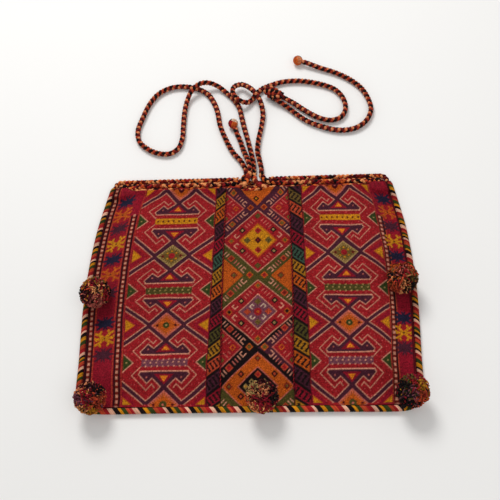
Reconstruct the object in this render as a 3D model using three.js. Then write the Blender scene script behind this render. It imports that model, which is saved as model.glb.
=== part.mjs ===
// Woven shoulder bag, lying on its back with its front face up and its mouth towards +Y.
// Lengths are in millimetres. Bag coordinates start on the surface below it, at the middle of the bottom fold.
import * as THREE from 'three';

// Bag
const bagWidth = 367;
const bagHeight = 291.5;
const clothThickness = 2.2;
const pouchDepth = 7;
const mouthOpening = 4.6;
const sideRise = 30;
const hemWidth = 8;
const bottomCornerRadius = 16;
const topCornerRadius = 20;

// Cords and braids
const cordDiameter = 7.8;
const braidDiameter = 6.4;
const edgeCordDiameter = 7;
const seamDiameter = 1.8;

// Knots
const knobDiameter = 13;
const slipKnotDiameter = 17;
const slipKnotLength = 23;
const slipKnotChamfer = 4;

// Pompoms
const pompomDiameter = 36;
const pompomSquashShare = 0.88;
const pompomUnder = 10.2;
const tieDiameter = 4.4;
const sidePompomInset = 10.6;
const sideTieInset = 3.4;

// Mouth, where the four cords leave
const strandPitch = 9.6;
const exitReach = 4.5;
const exitMiddle = 4.6;
const braidMouthGap = 17;

// Clearances
const seatGap = 0.3;
const edgeGap = 0.5;
const foldGap = 0.8;
const floorGap = 0.3;

// Half width of the bag at even heights from the fold to the rim, as shares of the half width
const outlineShares = [0.984, 0.989, 1, 0.99, 0.955, 0.892];

// Strip seams, as shares of the half width, and the columns between them
const leftSeamShare = -0.16;
const rightSeamShare = 0.275;
const centreColumnShares = [0, 0.33, 0.67, 1];
const fieldColumnShares = [0.33, 0.67, 1];
const riseColumnShares = [0, 0.25, 0.5, 0.75, 1];
const cornerRowShares = [0.12, 0.35, 0.65, 1];
const clothRowCount = 8;

const cordRadius = cordDiameter / 2;
const braidRadius = braidDiameter / 2;
const edgeCordRadius = edgeCordDiameter / 2;
const seamRadius = seamDiameter / 2;
const knobRadius = knobDiameter / 2;
const slipKnotRadius = slipKnotDiameter / 2;
const pompomRadius = pompomDiameter / 2;
const pompomLift = pompomUnder + pompomRadius * pompomSquashShare;
const tieRadius = tieDiameter / 2;

// The rim band on each cloth: the drawcord against the cloth's edge, then the braid
const rimBand = seatGap + cordDiameter + seatGap + braidDiameter;
const backClothHeight = bagHeight - rimBand;
const backRunY = backClothHeight + seatGap + cordRadius;
const backBraidY = bagHeight - braidRadius;
const frontTop = backClothHeight - seatGap;
const frontClothHeight = frontTop - rimBand;
const frontRunY = frontClothHeight + seatGap + cordRadius;
const frontBraidY = frontTop - braidRadius;
const exitY = bagHeight + exitReach;

// Heights above the surface
const cordRestZ = cordRadius + floorGap;
const braidRestZ = braidRadius + floorGap;
const clothSeatZ = clothThickness + seatGap;
const mouthRunZ = cordRestZ + cordRadius + mouthOpening + cordRadius;
const mouthDepth = mouthRunZ - clothThickness / 2 - clothSeatZ;
const crossingRise = cordDiameter + 2 * seatGap;

// Places of the pompoms. A side one is at a share of the bag's height up the side. A bottom one is at a share
// of the half width along the fold, and at a share of its own diameter above the fold.
const sidePompoms = [
  { name: 'left_side', sign: -1, heightShare: 0.435 },
  { name: 'right_side', sign: 1, heightShare: 0.47 },
];
const bottomPompoms = [
  { name: 'left_corner', placeShare: -0.917, aboveShare: 0.1 },
  { name: 'bottom_middle', placeShare: 0.093, aboveShare: 0.08 },
  { name: 'right_corner', placeShare: 0.957, aboveShare: 0.2 },
];

// Middle of the whole bag along Y, from the outermost pompom to the ends of the drawcord's runs
const lowestShare = Math.min(...bottomPompoms.map((pompom) => pompom.aboveShare));
const pompomReach = pompomRadius - lowestShare * pompomDiameter;
const bagMiddleY = (exitY - seatGap - pompomReach) / 2;

const outlineCurve = new THREE.SplineCurve(
  outlineShares.map((share, i) => new THREE.Vector2(share, i / (outlineShares.length - 1))),
);

function outlineHalf(y) {
  const place = THREE.MathUtils.clamp(y / bagHeight, 0, 1);
  return (bagWidth / 2) * outlineCurve.getPoint(place).x;
}

// How far a rounded corner draws the outline in, at a distance from the end of the side
function cornerInset(distance, radius) {
  if (distance >= radius) {
    return 0;
  }
  const rest = radius - Math.max(distance, 0);
  return radius - Math.sqrt(radius * radius - rest * rest);
}

function clothHalf(y) {
  return outlineHalf(y) - cornerInset(y, bottomCornerRadius);
}

// 0 on the hem that lies on the back cloth, 1 where the front cloth has risen to its full height
function riseShare(x, y) {
  const side = THREE.MathUtils.smoothstep(outlineHalf(y) - Math.abs(x), hemWidth, hemWidth + sideRise);
  const fold = THREE.MathUtils.smoothstep(y, hemWidth, hemWidth + sideRise);
  return side * fold;
}

function frontUnder(x, y) {
  const depth = THREE.MathUtils.mapLinear(y, 0, frontClothHeight, pouchDepth, mouthDepth);
  return clothSeatZ + riseShare(x, y) * depth;
}

function frontOver(x, y) {
  return frontUnder(x, y) + clothThickness;
}

// Height of a cord or braid of a given radius on the front rim
function frontRimZ(x, radius) {
  const low = clothSeatZ + radius;
  return low + riseShare(x, frontClothHeight) * (mouthRunZ - low);
}

const materials = {
  kilim: new THREE.MeshStandardMaterial({ color: 0xa81e28, roughness: 0.95 }),
  centreKilim: new THREE.MeshStandardMaterial({ color: 0xc25a1c, roughness: 0.95 }),
  backCloth: new THREE.MeshStandardMaterial({ color: 0x7d1a22, roughness: 0.95 }),
  seamThread: new THREE.MeshStandardMaterial({ color: 0x5a0f14, roughness: 0.9 }),
  edgeCord: new THREE.MeshStandardMaterial({ color: 0x6b6a2a, roughness: 0.9 }),
  rimBraid: new THREE.MeshStandardMaterial({ color: 0xc8521f, roughness: 0.9 }),
  drawcord: new THREE.MeshStandardMaterial({ color: 0xb4451f, roughness: 0.85 }),
  knobYarn: new THREE.MeshStandardMaterial({ color: 0xd99a5c, roughness: 0.9 }),
  pompom: new THREE.MeshStandardMaterial({ color: 0x8c3a2c, roughness: 1 }),
  tieYarn: new THREE.MeshStandardMaterial({ color: 0x2a1414, roughness: 0.95 }),
};

const bag = new THREE.Group();
bag.name = 'woven_shoulder_bag';
bag.position.y = -bagMiddleY;

function addPiece(name, geometry, material) {
  const mesh = new THREE.Mesh(geometry, material);
  mesh.name = name;
  bag.add(mesh);
  return mesh;
}

// Cords: a many-sided section drawn along a smooth route

const cordSides = 10;
const trimSides = 8;
const seamSides = 5;
const cordStepShare = 2;
const rimStepShare = 1;

function tube(points, radius, sides, stepLength) {
  const section = new THREE.Shape();
  for (let i = 0; i < sides; i += 1) {
    const angle = (i / sides) * Math.PI * 2;
    const corner = new THREE.Vector2(Math.cos(angle), Math.sin(angle)).multiplyScalar(radius);
    if (i === 0) {
      section.moveTo(corner.x, corner.y);
    } else {
      section.lineTo(corner.x, corner.y);
    }
  }
  const route = new THREE.CatmullRomCurve3(points, false, 'centripetal');
  const steps = Math.max(1, Math.round(route.getLength() / stepLength));
  return new THREE.ExtrudeGeometry(section, { steps, extrudePath: route, bevelEnabled: false });
}

function cord(points) {
  return tube(points, cordRadius, cordSides, cordDiameter * cordStepShare);
}

// A run in the rim bends more tightly than a free cord, so its steps are shorter
function rimCord(points) {
  return tube(points, cordRadius, cordSides, cordDiameter * rimStepShare);
}

// Cloth: a thin closed sheet from rows of points, each with its lower and upper height

function sheet(rows) {
  const positions = [];
  const faces = [];
  const columns = rows[0].length;
  const layer = rows.length * columns;
  rows.flat().forEach((p) => positions.push(p.x, p.y, p.under));
  rows.flat().forEach((p) => positions.push(p.x, p.y, p.over));
  const quad = (a, b, c, d) => faces.push(a, b, c, a, c, d);
  const low = (i, j) => i * columns + j;
  const high = (i, j) => layer + low(i, j);
  for (let i = 0; i + 1 < rows.length; i += 1) {
    for (let j = 0; j + 1 < columns; j += 1) {
      quad(high(i, j), high(i, j + 1), high(i + 1, j + 1), high(i + 1, j));
      quad(low(i, j), low(i + 1, j), low(i + 1, j + 1), low(i, j + 1));
    }
    quad(low(i, 0), high(i, 0), high(i + 1, 0), low(i + 1, 0));
    quad(low(i, columns - 1), low(i + 1, columns - 1), high(i + 1, columns - 1), high(i, columns - 1));
  }
  const last = rows.length - 1;
  for (let j = 0; j + 1 < columns; j += 1) {
    quad(low(0, j), low(0, j + 1), high(0, j + 1), high(0, j));
    quad(low(last, j), high(last, j), high(last, j + 1), low(last, j + 1));
  }
  const geometry = new THREE.BufferGeometry();
  geometry.setAttribute('position', new THREE.Float32BufferAttribute(positions, 3));
  geometry.setIndex(faces);
  geometry.computeVertexNormals();
  return geometry;
}

// Rows of the front cloth: close together on the rounded corners and the rise, then even

function frontRowHeights() {
  const corner = cornerRowShares.map((share) => share * bottomCornerRadius);
  const riseTop = hemWidth + sideRise;
  const risen = riseColumnShares.map((share) => hemWidth + share * sideRise);
  const rise = risen.filter((y) => y > bottomCornerRadius);
  const even = [];
  for (let i = 1; i <= clothRowCount; i += 1) {
    even.push(THREE.MathUtils.lerp(riseTop, frontClothHeight, i / clothRowCount));
  }
  return [foldGap, ...corner, ...rise, ...even];
}

function frontSheet(columnsAt) {
  return sheet(
    frontRowHeights().map((y) =>
      columnsAt(y).map((x) => ({ x, y, under: frontUnder(x, y), over: frontOver(x, y) })),
    ),
  );
}

function seamX(share, y) {
  return share * outlineHalf(y);
}

// Columns of a side strip, from its outer edge over the hem and the rise to its seam
function sideColumns(sign, seamShare, y) {
  const outer = clothHalf(y) - edgeGap;
  const rise = riseColumnShares.map((share) => outer - hemWidth - share * sideRise);
  const inner = Math.abs(seamX(seamShare, y)) + seatGap / 2;
  const field = fieldColumnShares.map((share) => THREE.MathUtils.lerp(rise[rise.length - 1], inner, share));
  const columns = [outer, ...rise, ...field].map((x) => sign * x);
  return sign < 0 ? columns : columns.reverse();
}

function centreColumns(y) {
  const left = seamX(leftSeamShare, y) + seatGap / 2;
  const right = seamX(rightSeamShare, y) - seatGap / 2;
  return centreColumnShares.map((share) => THREE.MathUtils.lerp(left, right, share));
}

addPiece('front_strip_left', frontSheet((y) => sideColumns(-1, leftSeamShare, y)), materials.kilim);
addPiece('front_strip_centre', frontSheet(centreColumns), materials.centreKilim);
addPiece('front_strip_right', frontSheet((y) => sideColumns(1, rightSeamShare, y)), materials.kilim);

// Seams that join the strips: a row of stitches standing on both of them

function seamPoints(share) {
  return frontRowHeights()
    .filter((y) => y >= bottomCornerRadius)
    .map((y) => {
      const x = seamX(share, y);
      return new THREE.Vector3(x, y, frontOver(x, y) + 2 * seatGap + seamRadius);
    });
}

const seamStep = 12;
for (const [side, share] of [['left', leftSeamShare], ['right', rightSeamShare]]) {
  addPiece(`front_seam_${side}`, tube(seamPoints(share), seamRadius, seamSides, seamStep), materials.seamThread);
}

// Back cloth: one flat piece with rounded corners

function backOutline() {
  const rows = [];
  const cornerSteps = 5;
  const sideSteps = 8;
  for (let i = 0; i < cornerSteps; i += 1) {
    rows.push(bottomCornerRadius * (1 - Math.cos((i / cornerSteps) * (Math.PI / 2))));
  }
  const topCornerStart = backClothHeight - topCornerRadius;
  for (let i = 0; i <= sideSteps; i += 1) {
    rows.push(THREE.MathUtils.lerp(bottomCornerRadius, topCornerStart, i / sideSteps));
  }
  for (let i = 1; i <= cornerSteps; i += 1) {
    rows.push(topCornerStart + topCornerRadius * Math.sin((i / cornerSteps) * (Math.PI / 2)));
  }
  return rows.map((y) => {
    const drawnIn = cornerInset(backClothHeight - y, topCornerRadius);
    return new THREE.Vector2(clothHalf(y) - drawnIn - edgeGap, y);
  });
}

const rightSide = backOutline();
const leftSide = rightSide.map((p) => new THREE.Vector2(-p.x, p.y)).reverse();
const backShape = new THREE.Shape([...rightSide, ...leftSide]);
addPiece(
  'back_cloth',
  new THREE.ExtrudeGeometry(backShape, { depth: clothThickness, bevelEnabled: false }),
  materials.backCloth,
);

// Edge cord: down the left side, along the fold and up the right side

function edgeCordPoints() {
  const offset = edgeGap + edgeCordRadius;
  const arcSteps = 4;
  const sideSteps = 8;
  const half = [new THREE.Vector3(0, -offset, edgeCordRadius)];
  const arcX = outlineHalf(bottomCornerRadius) - bottomCornerRadius;
  half.push(new THREE.Vector3(arcX / 2, -offset, edgeCordRadius));
  for (let i = 0; i <= arcSteps; i += 1) {
    const angle = (i / arcSteps) * (Math.PI / 2);
    const radius = bottomCornerRadius + offset;
    const x = arcX + radius * Math.sin(angle);
    half.push(new THREE.Vector3(x, bottomCornerRadius - radius * Math.cos(angle), edgeCordRadius));
  }
  for (let i = 1; i <= sideSteps; i += 1) {
    const y = THREE.MathUtils.lerp(bottomCornerRadius, backBraidY, i / sideSteps);
    half.push(new THREE.Vector3(outlineHalf(y) + offset, y, edgeCordRadius));
  }
  const left = half.slice(1).map((p) => new THREE.Vector3(-p.x, p.y, p.z));
  return [...left.reverse(), ...half];
}

const edgeCordStep = 8.7;
addPiece('edge_cord', tube(edgeCordPoints(), edgeCordRadius, trimSides, edgeCordStep), materials.edgeCord);

// Where each cord leaves the mouth: two below on the left and middle, one on the right, one on top

const exits = {
  loopStart: new THREE.Vector3(exitMiddle - strandPitch, exitY, cordRestZ),
  loopEnd: new THREE.Vector3(exitMiddle, exitY, cordRestZ),
  tie: new THREE.Vector3(exitMiddle + strandPitch, exitY, cordRestZ),
  short: new THREE.Vector3(
    exitMiddle - strandPitch / 2,
    exitY,
    cordRestZ + Math.sqrt(crossingRise ** 2 - (strandPitch / 2) ** 2),
  ),
};
const braidEnds = {
  left: exits.loopStart.x - braidMouthGap,
  right: exits.tie.x + braidMouthGap,
};

// Rim braids: open at the middle of the mouth

const braidCornerInset = 1.5 * cordDiameter;
const braidStep = 15;
const rimPointCount = 8;

function rimPoints(outerX, innerX, y, heightAt) {
  const points = [];
  for (let i = 0; i <= rimPointCount; i += 1) {
    const x = THREE.MathUtils.lerp(outerX, innerX, i / rimPointCount);
    points.push(new THREE.Vector3(x, y, heightAt(x)));
  }
  return points;
}

for (const [side, sign] of [['left', -1], ['right', 1]]) {
  const backOuter = sign * (outlineHalf(backBraidY) - edgeGap);
  const frontOuter = sign * (outlineHalf(frontBraidY) - braidCornerInset);
  const backPoints = rimPoints(backOuter, braidEnds[side], backBraidY, () => braidRestZ);
  const frontPoints = rimPoints(frontOuter, braidEnds[side], frontBraidY, (x) => frontRimZ(x, braidRadius));
  for (const [cloth, points] of [['back', backPoints], ['front', frontPoints]]) {
    const braid = tube(points, braidRadius, trimSides, braidStep);
    addPiece(`${cloth}_rim_braid_${side}`, braid, materials.rimBraid);
  }
}

// Drawcord in the rim. Each back run turns at the corner of the mouth and meets the front run there.
// At the middle each run bends out of the mouth, to its exit.

const turnEndInset = 2 * cordDiameter;
const turnLeadInset = 1.5 * cordDiameter;
const exitEase = 6;

function turnPoints(sign) {
  const at = (inset, y, z) => new THREE.Vector3(sign * (outlineHalf(y) - inset), y, z);
  const outerInset = cordRadius + seatGap;
  const middleY = (backRunY + frontRunY) / 2;
  const seatZ = clothSeatZ + cordRadius;
  const endX = sign * (outlineHalf(frontRunY) - turnEndInset);
  const leadX = sign * (outlineHalf(frontRunY) - turnLeadInset);
  return [
    new THREE.Vector3(endX, frontRunY, frontRimZ(endX, cordRadius)),
    new THREE.Vector3(leadX, frontRunY, frontRimZ(leadX, cordRadius)),
    at(2 * cordRadius + seatGap, frontRunY + seatGap, seatZ + seatGap),
    at(outerInset, middleY, seatZ),
    at(2 * cordRadius, backRunY - seatGap, cordRestZ + seatGap),
    at(turnEndInset + cordRadius, backRunY, cordRestZ),
  ];
}

// Share of the way to the exit, sideways and onwards, at each point of the bend
const bendShares = [
  [1, 0],
  [0.42, 0.05],
  [0.16, 0.32],
  [0.06, 0.62],
  [0, 0.86],
  [0, 1],
];
const levelShare = 0.84;

function bendPoints(sign, startY, startZ, exit) {
  const turnWidth = braidMouthGap * 2;
  return bendShares.map(([aside, onward]) => {
    const x = exit.x + sign * aside * turnWidth;
    const y = THREE.MathUtils.lerp(startY, exit.y - seatGap, onward);
    const z = THREE.MathUtils.lerp(startZ, exit.z, THREE.MathUtils.smoothstep(onward, 0, levelShare));
    return new THREE.Vector3(x, y, z);
  });
}

function straightRun(fromX, toX, y, heightAt) {
  return rimPoints(fromX, toX, y, heightAt).slice(1, -1);
}

function backRun(sign, exit) {
  const corner = turnPoints(sign);
  const bend = bendPoints(sign, backRunY, cordRestZ, exit);
  const level = straightRun(corner[corner.length - 1].x, bend[0].x, backRunY, () => cordRestZ);
  return rimCord([...corner, ...level, ...bend]);
}

function frontRun(sign, exit) {
  const heightAt = (x) => frontRimZ(x, cordRadius);
  const endX = sign * (outlineHalf(frontRunY) - turnEndInset - 1.5 * seatGap);
  const bend = bendPoints(sign, frontRunY, mouthRunZ, exit);
  const leadX = endX - sign * (cordRadius / 2);
  const start = [endX, leadX].map((x) => new THREE.Vector3(x, frontRunY, heightAt(x)));
  return rimCord([...start, ...straightRun(leadX, bend[0].x, frontRunY, heightAt), ...bend]);
}

addPiece('drawcord_back_left', backRun(-1, exits.loopStart), materials.drawcord);
addPiece('drawcord_back_right', backRun(1, exits.tie), materials.drawcord);
addPiece('drawcord_front_left', frontRun(-1, exits.short), materials.drawcord);
addPiece('drawcord_front_right', frontRun(1, exits.loopEnd), materials.drawcord);

// Free cords. Each point is across and along from the middle of the bag's mouth, and how far it is raised:
// 0 lies on the surface, 1 lies on another cord.

function routePoints(list) {
  const raised = (level) => cordRestZ + level * crossingRise;
  return list.map(([x, along, level]) => new THREE.Vector3(x, exitY + along, raised(level)));
}

const loopRoute = routePoints([
  [-7.2, 11, 0],
  [-12.5, 21, 0],
  [-21.5, 33, 0],
  [-31, 53, 0],
  [-39.5, 77, 0],
  [-43, 97, 0],
  [-48.5, 114, 0],
  [-57, 128, 0],
  [-69, 136.5, 0],
  [-87, 142, 0],
  [-106, 141, 0],
  [-122, 132, 0],
  [-133.5, 115, 0],
  [-141, 93, 0],
  [-146, 71, 0],
  [-143, 55, 0],
  [-132, 43, 0],
  [-118, 35.5, 0],
  [-103, 34, 0],
  [-92.5, 41, 0],
  [-87.5, 57, 0],
  [-87, 76, 0],
  [-86.5, 99, 0],
  [-84, 116, 0.15],
  [-77.5, 130, 0.75],
  [-67, 138.5, 1.08],
  [-56, 141, 0.9],
  [-44, 139, 0.3],
  [-32, 129, 0],
  [-22, 117, 0],
  [-15, 104, 0],
  [-11.5, 88, 0],
  [-8.2, 72, 0],
  [-3.6, 53, 0],
  [0.6, 34, 0],
  [3.7, 18, 0],
]);

const tieRoute = routePoints([
  [11.8, 20, 0],
  [9.3, 33, 0],
  [10.5, 52, 0],
  [14, 72, 0],
  [16, 92, 0.1],
  [12.5, 110, 0.6],
  [4.8, 122.5, 1.05],
  [-4.5, 133, 0.85],
  [-13.5, 139, 0.5],
  [-21, 135.5, 0.6],
  [-23.5, 126, 0.95],
  [-20, 115.5, 1.08],
  [-12.5, 108.5, 0.95],
  [-4, 110, 0.3],
  [2, 116.5, 0],
  [7.5, 126, 0],
  [15.5, 134, 0],
  [27, 139.5, 0],
  [40, 144, 0],
  [55, 145.5, 0],
  [69, 144.5, 0],
  [84, 141, 0],
  [98, 136, 0],
  [110, 129, 0],
  [118.5, 118, 0],
  [122.5, 105, 0],
  [121.5, 92, 0],
  [115, 82.5, 0],
  [104, 79, 0],
  [91.5, 81.8, 0],
  [79.5, 88.8, 0],
  [67.5, 98.2, 0],
  [56, 107.8, 0.1],
  [45, 114.6, 0.3],
]);

const tailRoute = routePoints([
  [39.6, 108, 0.3],
  [48.2, 101.4, 0.1],
  [59, 91, 0],
  [72, 79.5, 0],
  [89, 70.2, 0],
  [107, 63.8, 0],
  [123, 62.8, 0],
  [137, 67, 0],
  [149, 78, 0],
  [155, 94, 0],
  [153, 110, 0],
  [145, 129, 0],
  [130, 145, 0],
  [112, 157, 0],
  [91, 166, 0.1],
  [76, 172.5, 0.3],
  [69, 175.5, 0.35],
]);

const shortRoute = routePoints([
  [-1.4, 12, 0.84],
  [-4.4, 23, 0.5],
  [-8.6, 36, 0.06],
  [-12.9, 51, 0],
  [-17.6, 63, 0.15],
  [-20, 70, 0.31],
]);

const beyondMouth = new THREE.Vector3(0, exitEase, 0);
const loopEnds = [exits.loopStart, exits.loopStart.clone().add(beyondMouth)];
const loopReturn = [exits.loopEnd.clone().add(beyondMouth), exits.loopEnd];
const tieStart = [exits.tie, exits.tie.clone().add(beyondMouth)];
const shortStart = [exits.short, exits.short.clone().add(beyondMouth)];
addPiece('strap_loop_cord', cord([...loopEnds, ...loopRoute, ...loopReturn]), materials.drawcord);
addPiece('tie_cord', cord([...tieStart, ...tieRoute]), materials.drawcord);
addPiece('tail_cord', cord(tailRoute), materials.drawcord);
addPiece('short_cord', cord([...shortStart, ...shortRoute]), materials.drawcord);

// End knobs: round wrapped ends, each just beyond its cord's last point

function addKnob(name, route) {
  const end = route[route.length - 1];
  const before = route[route.length - 2];
  const onward = end.clone().sub(before).setZ(0).setLength(knobRadius + seatGap);
  const knob = addPiece(name, new THREE.SphereGeometry(knobRadius, 12, 8), materials.knobYarn);
  knob.position.set(end.x + onward.x, end.y + onward.y, knobRadius + floorGap);
}

addKnob('tail_end_knob', tailRoute);
addKnob('short_end_knob', shortRoute);

// Slip knot: a barrel of turns, whose flat end meets the tie cord and the tail cord side by side

const knotProfile = [
  new THREE.Vector2(0, -slipKnotLength),
  new THREE.Vector2(slipKnotRadius - slipKnotChamfer, -slipKnotLength),
  new THREE.Vector2(slipKnotRadius, slipKnotChamfer - slipKnotLength),
  new THREE.Vector2(slipKnotRadius, -slipKnotChamfer / 2),
  new THREE.Vector2(slipKnotRadius - slipKnotChamfer / 2, 0),
  new THREE.Vector2(0, 0),
];
const tieEnd = tieRoute[tieRoute.length - 1];
const tailStart = tailRoute[0];
const acrossKnot = tieEnd.clone().sub(tailStart);
const knotAngle = Math.atan2(acrossKnot.y, acrossKnot.x) - Math.PI / 2;
const knotAxis = new THREE.Vector3(Math.cos(knotAngle), Math.sin(knotAngle), 0);
const slipKnot = addPiece('slip_knot', new THREE.LatheGeometry(knotProfile, 12), materials.drawcord);
slipKnot.rotation.z = knotAngle - Math.PI / 2;
const knotEnd = tieEnd.clone().add(tailStart).multiplyScalar(0.5);
slipKnot.position.copy(knotEnd).addScaledVector(knotAxis, -3 * seatGap);
slipKnot.position.z = slipKnotRadius + floorGap;

// Pompoms. The side ones are sewn to the front cloth, just inside its edge, and the bottom ones to the edge
// cord. Each is a squashed ball on a short tie.

function ballUnder(distance) {
  const share = Math.min(distance / pompomRadius, 1);
  return pompomLift - pompomRadius * pompomSquashShare * Math.sqrt(1 - share * share);
}

function addPompom(name, ball, tieSpot, tieBase) {
  const sphere = new THREE.SphereGeometry(pompomRadius, 12, 8);
  sphere.rotateX(Math.PI / 2);
  sphere.scale(1, 1, pompomSquashShare);
  const pompom = addPiece(`pompom_${name}`, sphere, materials.pompom);
  pompom.position.set(ball.x, ball.y, pompomLift);
  const tieTop = ballUnder(Math.max(ball.distanceTo(tieSpot) - tieRadius, 0)) - seatGap;
  const height = tieTop - tieBase;
  const yarn = new THREE.CylinderGeometry(tieRadius, tieRadius, height, trimSides);
  const tie = addPiece(`pompom_tie_${name}`, yarn, materials.tieYarn);
  tie.rotation.x = Math.PI / 2;
  tie.position.set(tieSpot.x, tieSpot.y, tieBase + height / 2);
}

for (const { name, sign, heightShare } of sidePompoms) {
  const y = heightShare * bagHeight;
  const ball = new THREE.Vector2(sign * (outlineHalf(y) - sidePompomInset), y);
  const tieSpot = new THREE.Vector2(sign * (outlineHalf(y) - sideTieInset), y);
  addPompom(name, ball, tieSpot, frontOver(tieSpot.x, tieSpot.y) + seatGap);
}

for (const { name, placeShare, aboveShare } of bottomPompoms) {
  const ball = new THREE.Vector2(placeShare * outlineHalf(0), aboveShare * pompomDiameter);
  const onCord = Math.sign(placeShare) * Math.min(Math.abs(ball.x), outlineHalf(0) - bottomCornerRadius);
  const tieSpot = new THREE.Vector2(onCord, -edgeGap - edgeCordRadius);
  addPompom(name, ball, tieSpot, edgeCordDiameter + seatGap);
}

export default bag;
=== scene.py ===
"""A woven shoulder bag that lies on its back cloth, with its cords laid out beyond its mouth.

Lengths are in millimetres, in bag coordinates that start at the middle of the bottom fold, until a mesh is made.
"""
import itertools
import math

import bpy
import numpy as np
from mathutils import Matrix, Vector


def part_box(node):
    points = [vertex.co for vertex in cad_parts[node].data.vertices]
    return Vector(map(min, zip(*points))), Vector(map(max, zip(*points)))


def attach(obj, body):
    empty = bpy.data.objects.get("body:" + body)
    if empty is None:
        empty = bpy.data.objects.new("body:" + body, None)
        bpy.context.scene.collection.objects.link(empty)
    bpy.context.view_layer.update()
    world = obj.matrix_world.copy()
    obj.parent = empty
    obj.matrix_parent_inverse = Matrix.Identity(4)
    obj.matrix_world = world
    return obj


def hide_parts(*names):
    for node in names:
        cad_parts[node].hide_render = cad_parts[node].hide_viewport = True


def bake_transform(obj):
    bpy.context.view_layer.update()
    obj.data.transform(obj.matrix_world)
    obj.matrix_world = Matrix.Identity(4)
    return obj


MM = 0.001
SIDES = (-1, 1)
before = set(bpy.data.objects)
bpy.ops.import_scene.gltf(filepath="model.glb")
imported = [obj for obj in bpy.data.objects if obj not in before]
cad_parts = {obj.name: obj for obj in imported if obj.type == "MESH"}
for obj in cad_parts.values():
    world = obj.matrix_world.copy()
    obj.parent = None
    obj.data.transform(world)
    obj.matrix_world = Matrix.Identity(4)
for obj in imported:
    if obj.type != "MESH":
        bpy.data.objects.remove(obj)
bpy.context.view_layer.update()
rng = np.random.default_rng(7)

# Sizes of the bag
BAG_WIDTH = 367
BAG_HEIGHT = 291.5
CLOTH_THICKNESS = 2.2
POUCH_DEPTH = 7
MOUTH_OPENING = 4.6
SIDE_RISE = 30
HEM_WIDTH = 8
BOTTOM_CORNER = 16
FILLED_CORNER = 5
CORD_DIAMETER = 7.8
BRAID_DIAMETER = 6.4
EDGE_DIAMETER = 7
SEAM_DIAMETER = 1.8
STRAND_PITCH = 9.6
EXIT_REACH = 4.5
EXIT_MIDDLE = 4.6
BRAID_MOUTH_GAP = 17
SEAT_GAP = 0.3
EDGE_GAP = 0.5
FLOOR_GAP = 0.3
OUTLINE_SHARES = [0.984, 0.989, 1, 0.99, 0.955, 0.892]
SEAM_SHARES = (-0.16, 0.275)

CORD_RADIUS = CORD_DIAMETER / 2
BRAID_RADIUS = BRAID_DIAMETER / 2
EDGE_RADIUS = EDGE_DIAMETER / 2
SEAM_RADIUS = SEAM_DIAMETER / 2
RIM_BAND = 2 * SEAT_GAP + CORD_DIAMETER + BRAID_DIAMETER
BACK_HEIGHT = BAG_HEIGHT - RIM_BAND
BACK_RUN_Y = BACK_HEIGHT + SEAT_GAP + CORD_RADIUS
BACK_BRAID_Y = BAG_HEIGHT - BRAID_RADIUS
FRONT_TOP = BACK_HEIGHT - SEAT_GAP
FRONT_HEIGHT = FRONT_TOP - RIM_BAND
FRONT_RUN_Y = FRONT_HEIGHT + SEAT_GAP + CORD_RADIUS
FRONT_BRAID_Y = FRONT_TOP - BRAID_RADIUS
EXIT_Y = BAG_HEIGHT + EXIT_REACH
CORD_REST_Z = CORD_RADIUS + FLOOR_GAP
BRAID_REST_Z = BRAID_RADIUS + FLOOR_GAP
CLOTH_SEAT_Z = CLOTH_THICKNESS + SEAT_GAP
MOUTH_RUN_Z = CORD_REST_Z + CORD_DIAMETER + MOUTH_OPENING
MOUTH_DEPTH = MOUTH_RUN_Z - CLOTH_THICKNESS / 2 - CLOTH_SEAT_Z
CROSSING_RISE = CORD_DIAMETER + 2 * SEAT_GAP
FOLD_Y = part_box("back_cloth")[0].y

# Heights, places across and places along at the joins between bodies
EDGE_BEND = (2.6, 4.5)
MOUTH_BEND = (FRONT_HEIGHT + 6, EXIT_Y)
STRAP_BEND = (EXIT_Y - 4, EXIT_Y + 34)


def row_point(x, y, z=0.0):
    """A point in bag millimetres as one in the row's metres."""
    return Vector((x * MM, y * MM + FOLD_Y, z * MM))


def to_row(points):
    return np.asarray(points, float) * MM + np.array([0, FOLD_Y, 0])


def smoothstep(value, low, high):
    t = np.clip((value - low) / (high - low), 0, 1)
    return t * t * (3 - 2 * t)


def unit(vectors):
    return vectors / np.linalg.norm(vectors, axis=-1, keepdims=True)


def lengths_along(path):
    """How far along a path each of its points is."""
    return np.concatenate([[0], np.cumsum(np.linalg.norm(np.diff(path, axis=0), axis=1))])


def spread_along(at, lengths, values):
    """Values at some lengths along a path, from those at its points."""
    return np.stack([np.interp(at, lengths, values[:, k]) for k in range(values.shape[1])], axis=1)


def around(across, up, angle):
    """Directions that turn from across towards up."""
    return across * np.cos(angle)[:, None] + up * np.sin(angle)[:, None]


def hermite(t, p1, p2, m1, m2):
    t2, t3 = t * t, t * t * t
    return (2 * t3 - 3 * t2 + 1) * p1 + (t3 - 2 * t2 + t) * m1 + (3 * t2 - 2 * t3) * p2 + (t3 - t2) * m2


def outline_half(y):
    """Half width of the bag at a height, on a smooth curve through the outline's shares."""
    shares = np.array(OUTLINE_SHARES)
    last = len(shares) - 1
    place = np.clip(np.asarray(y, float) / BAG_HEIGHT, 0, 1) * last
    i = np.minimum(place.astype(int), last - 1)
    at = [shares[np.clip(i + k, 0, last)] for k in (-1, 0, 1, 2)]
    share = hermite(place - i, at[1], at[2], (at[2] - at[0]) / 2, (at[3] - at[1]) / 2)
    return share * BAG_WIDTH / 2


def corner_inset(distance, radius):
    rest = radius - np.clip(distance, 0, radius)
    return radius - np.sqrt(radius * radius - rest * rest)


def cloth_half(y):
    return outline_half(y) - corner_inset(y, BOTTOM_CORNER)


def rise_share(x, y):
    side = smoothstep(outline_half(y) - np.abs(x), HEM_WIDTH, HEM_WIDTH + SIDE_RISE)
    return side * smoothstep(y, HEM_WIDTH, HEM_WIDTH + SIDE_RISE)


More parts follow.
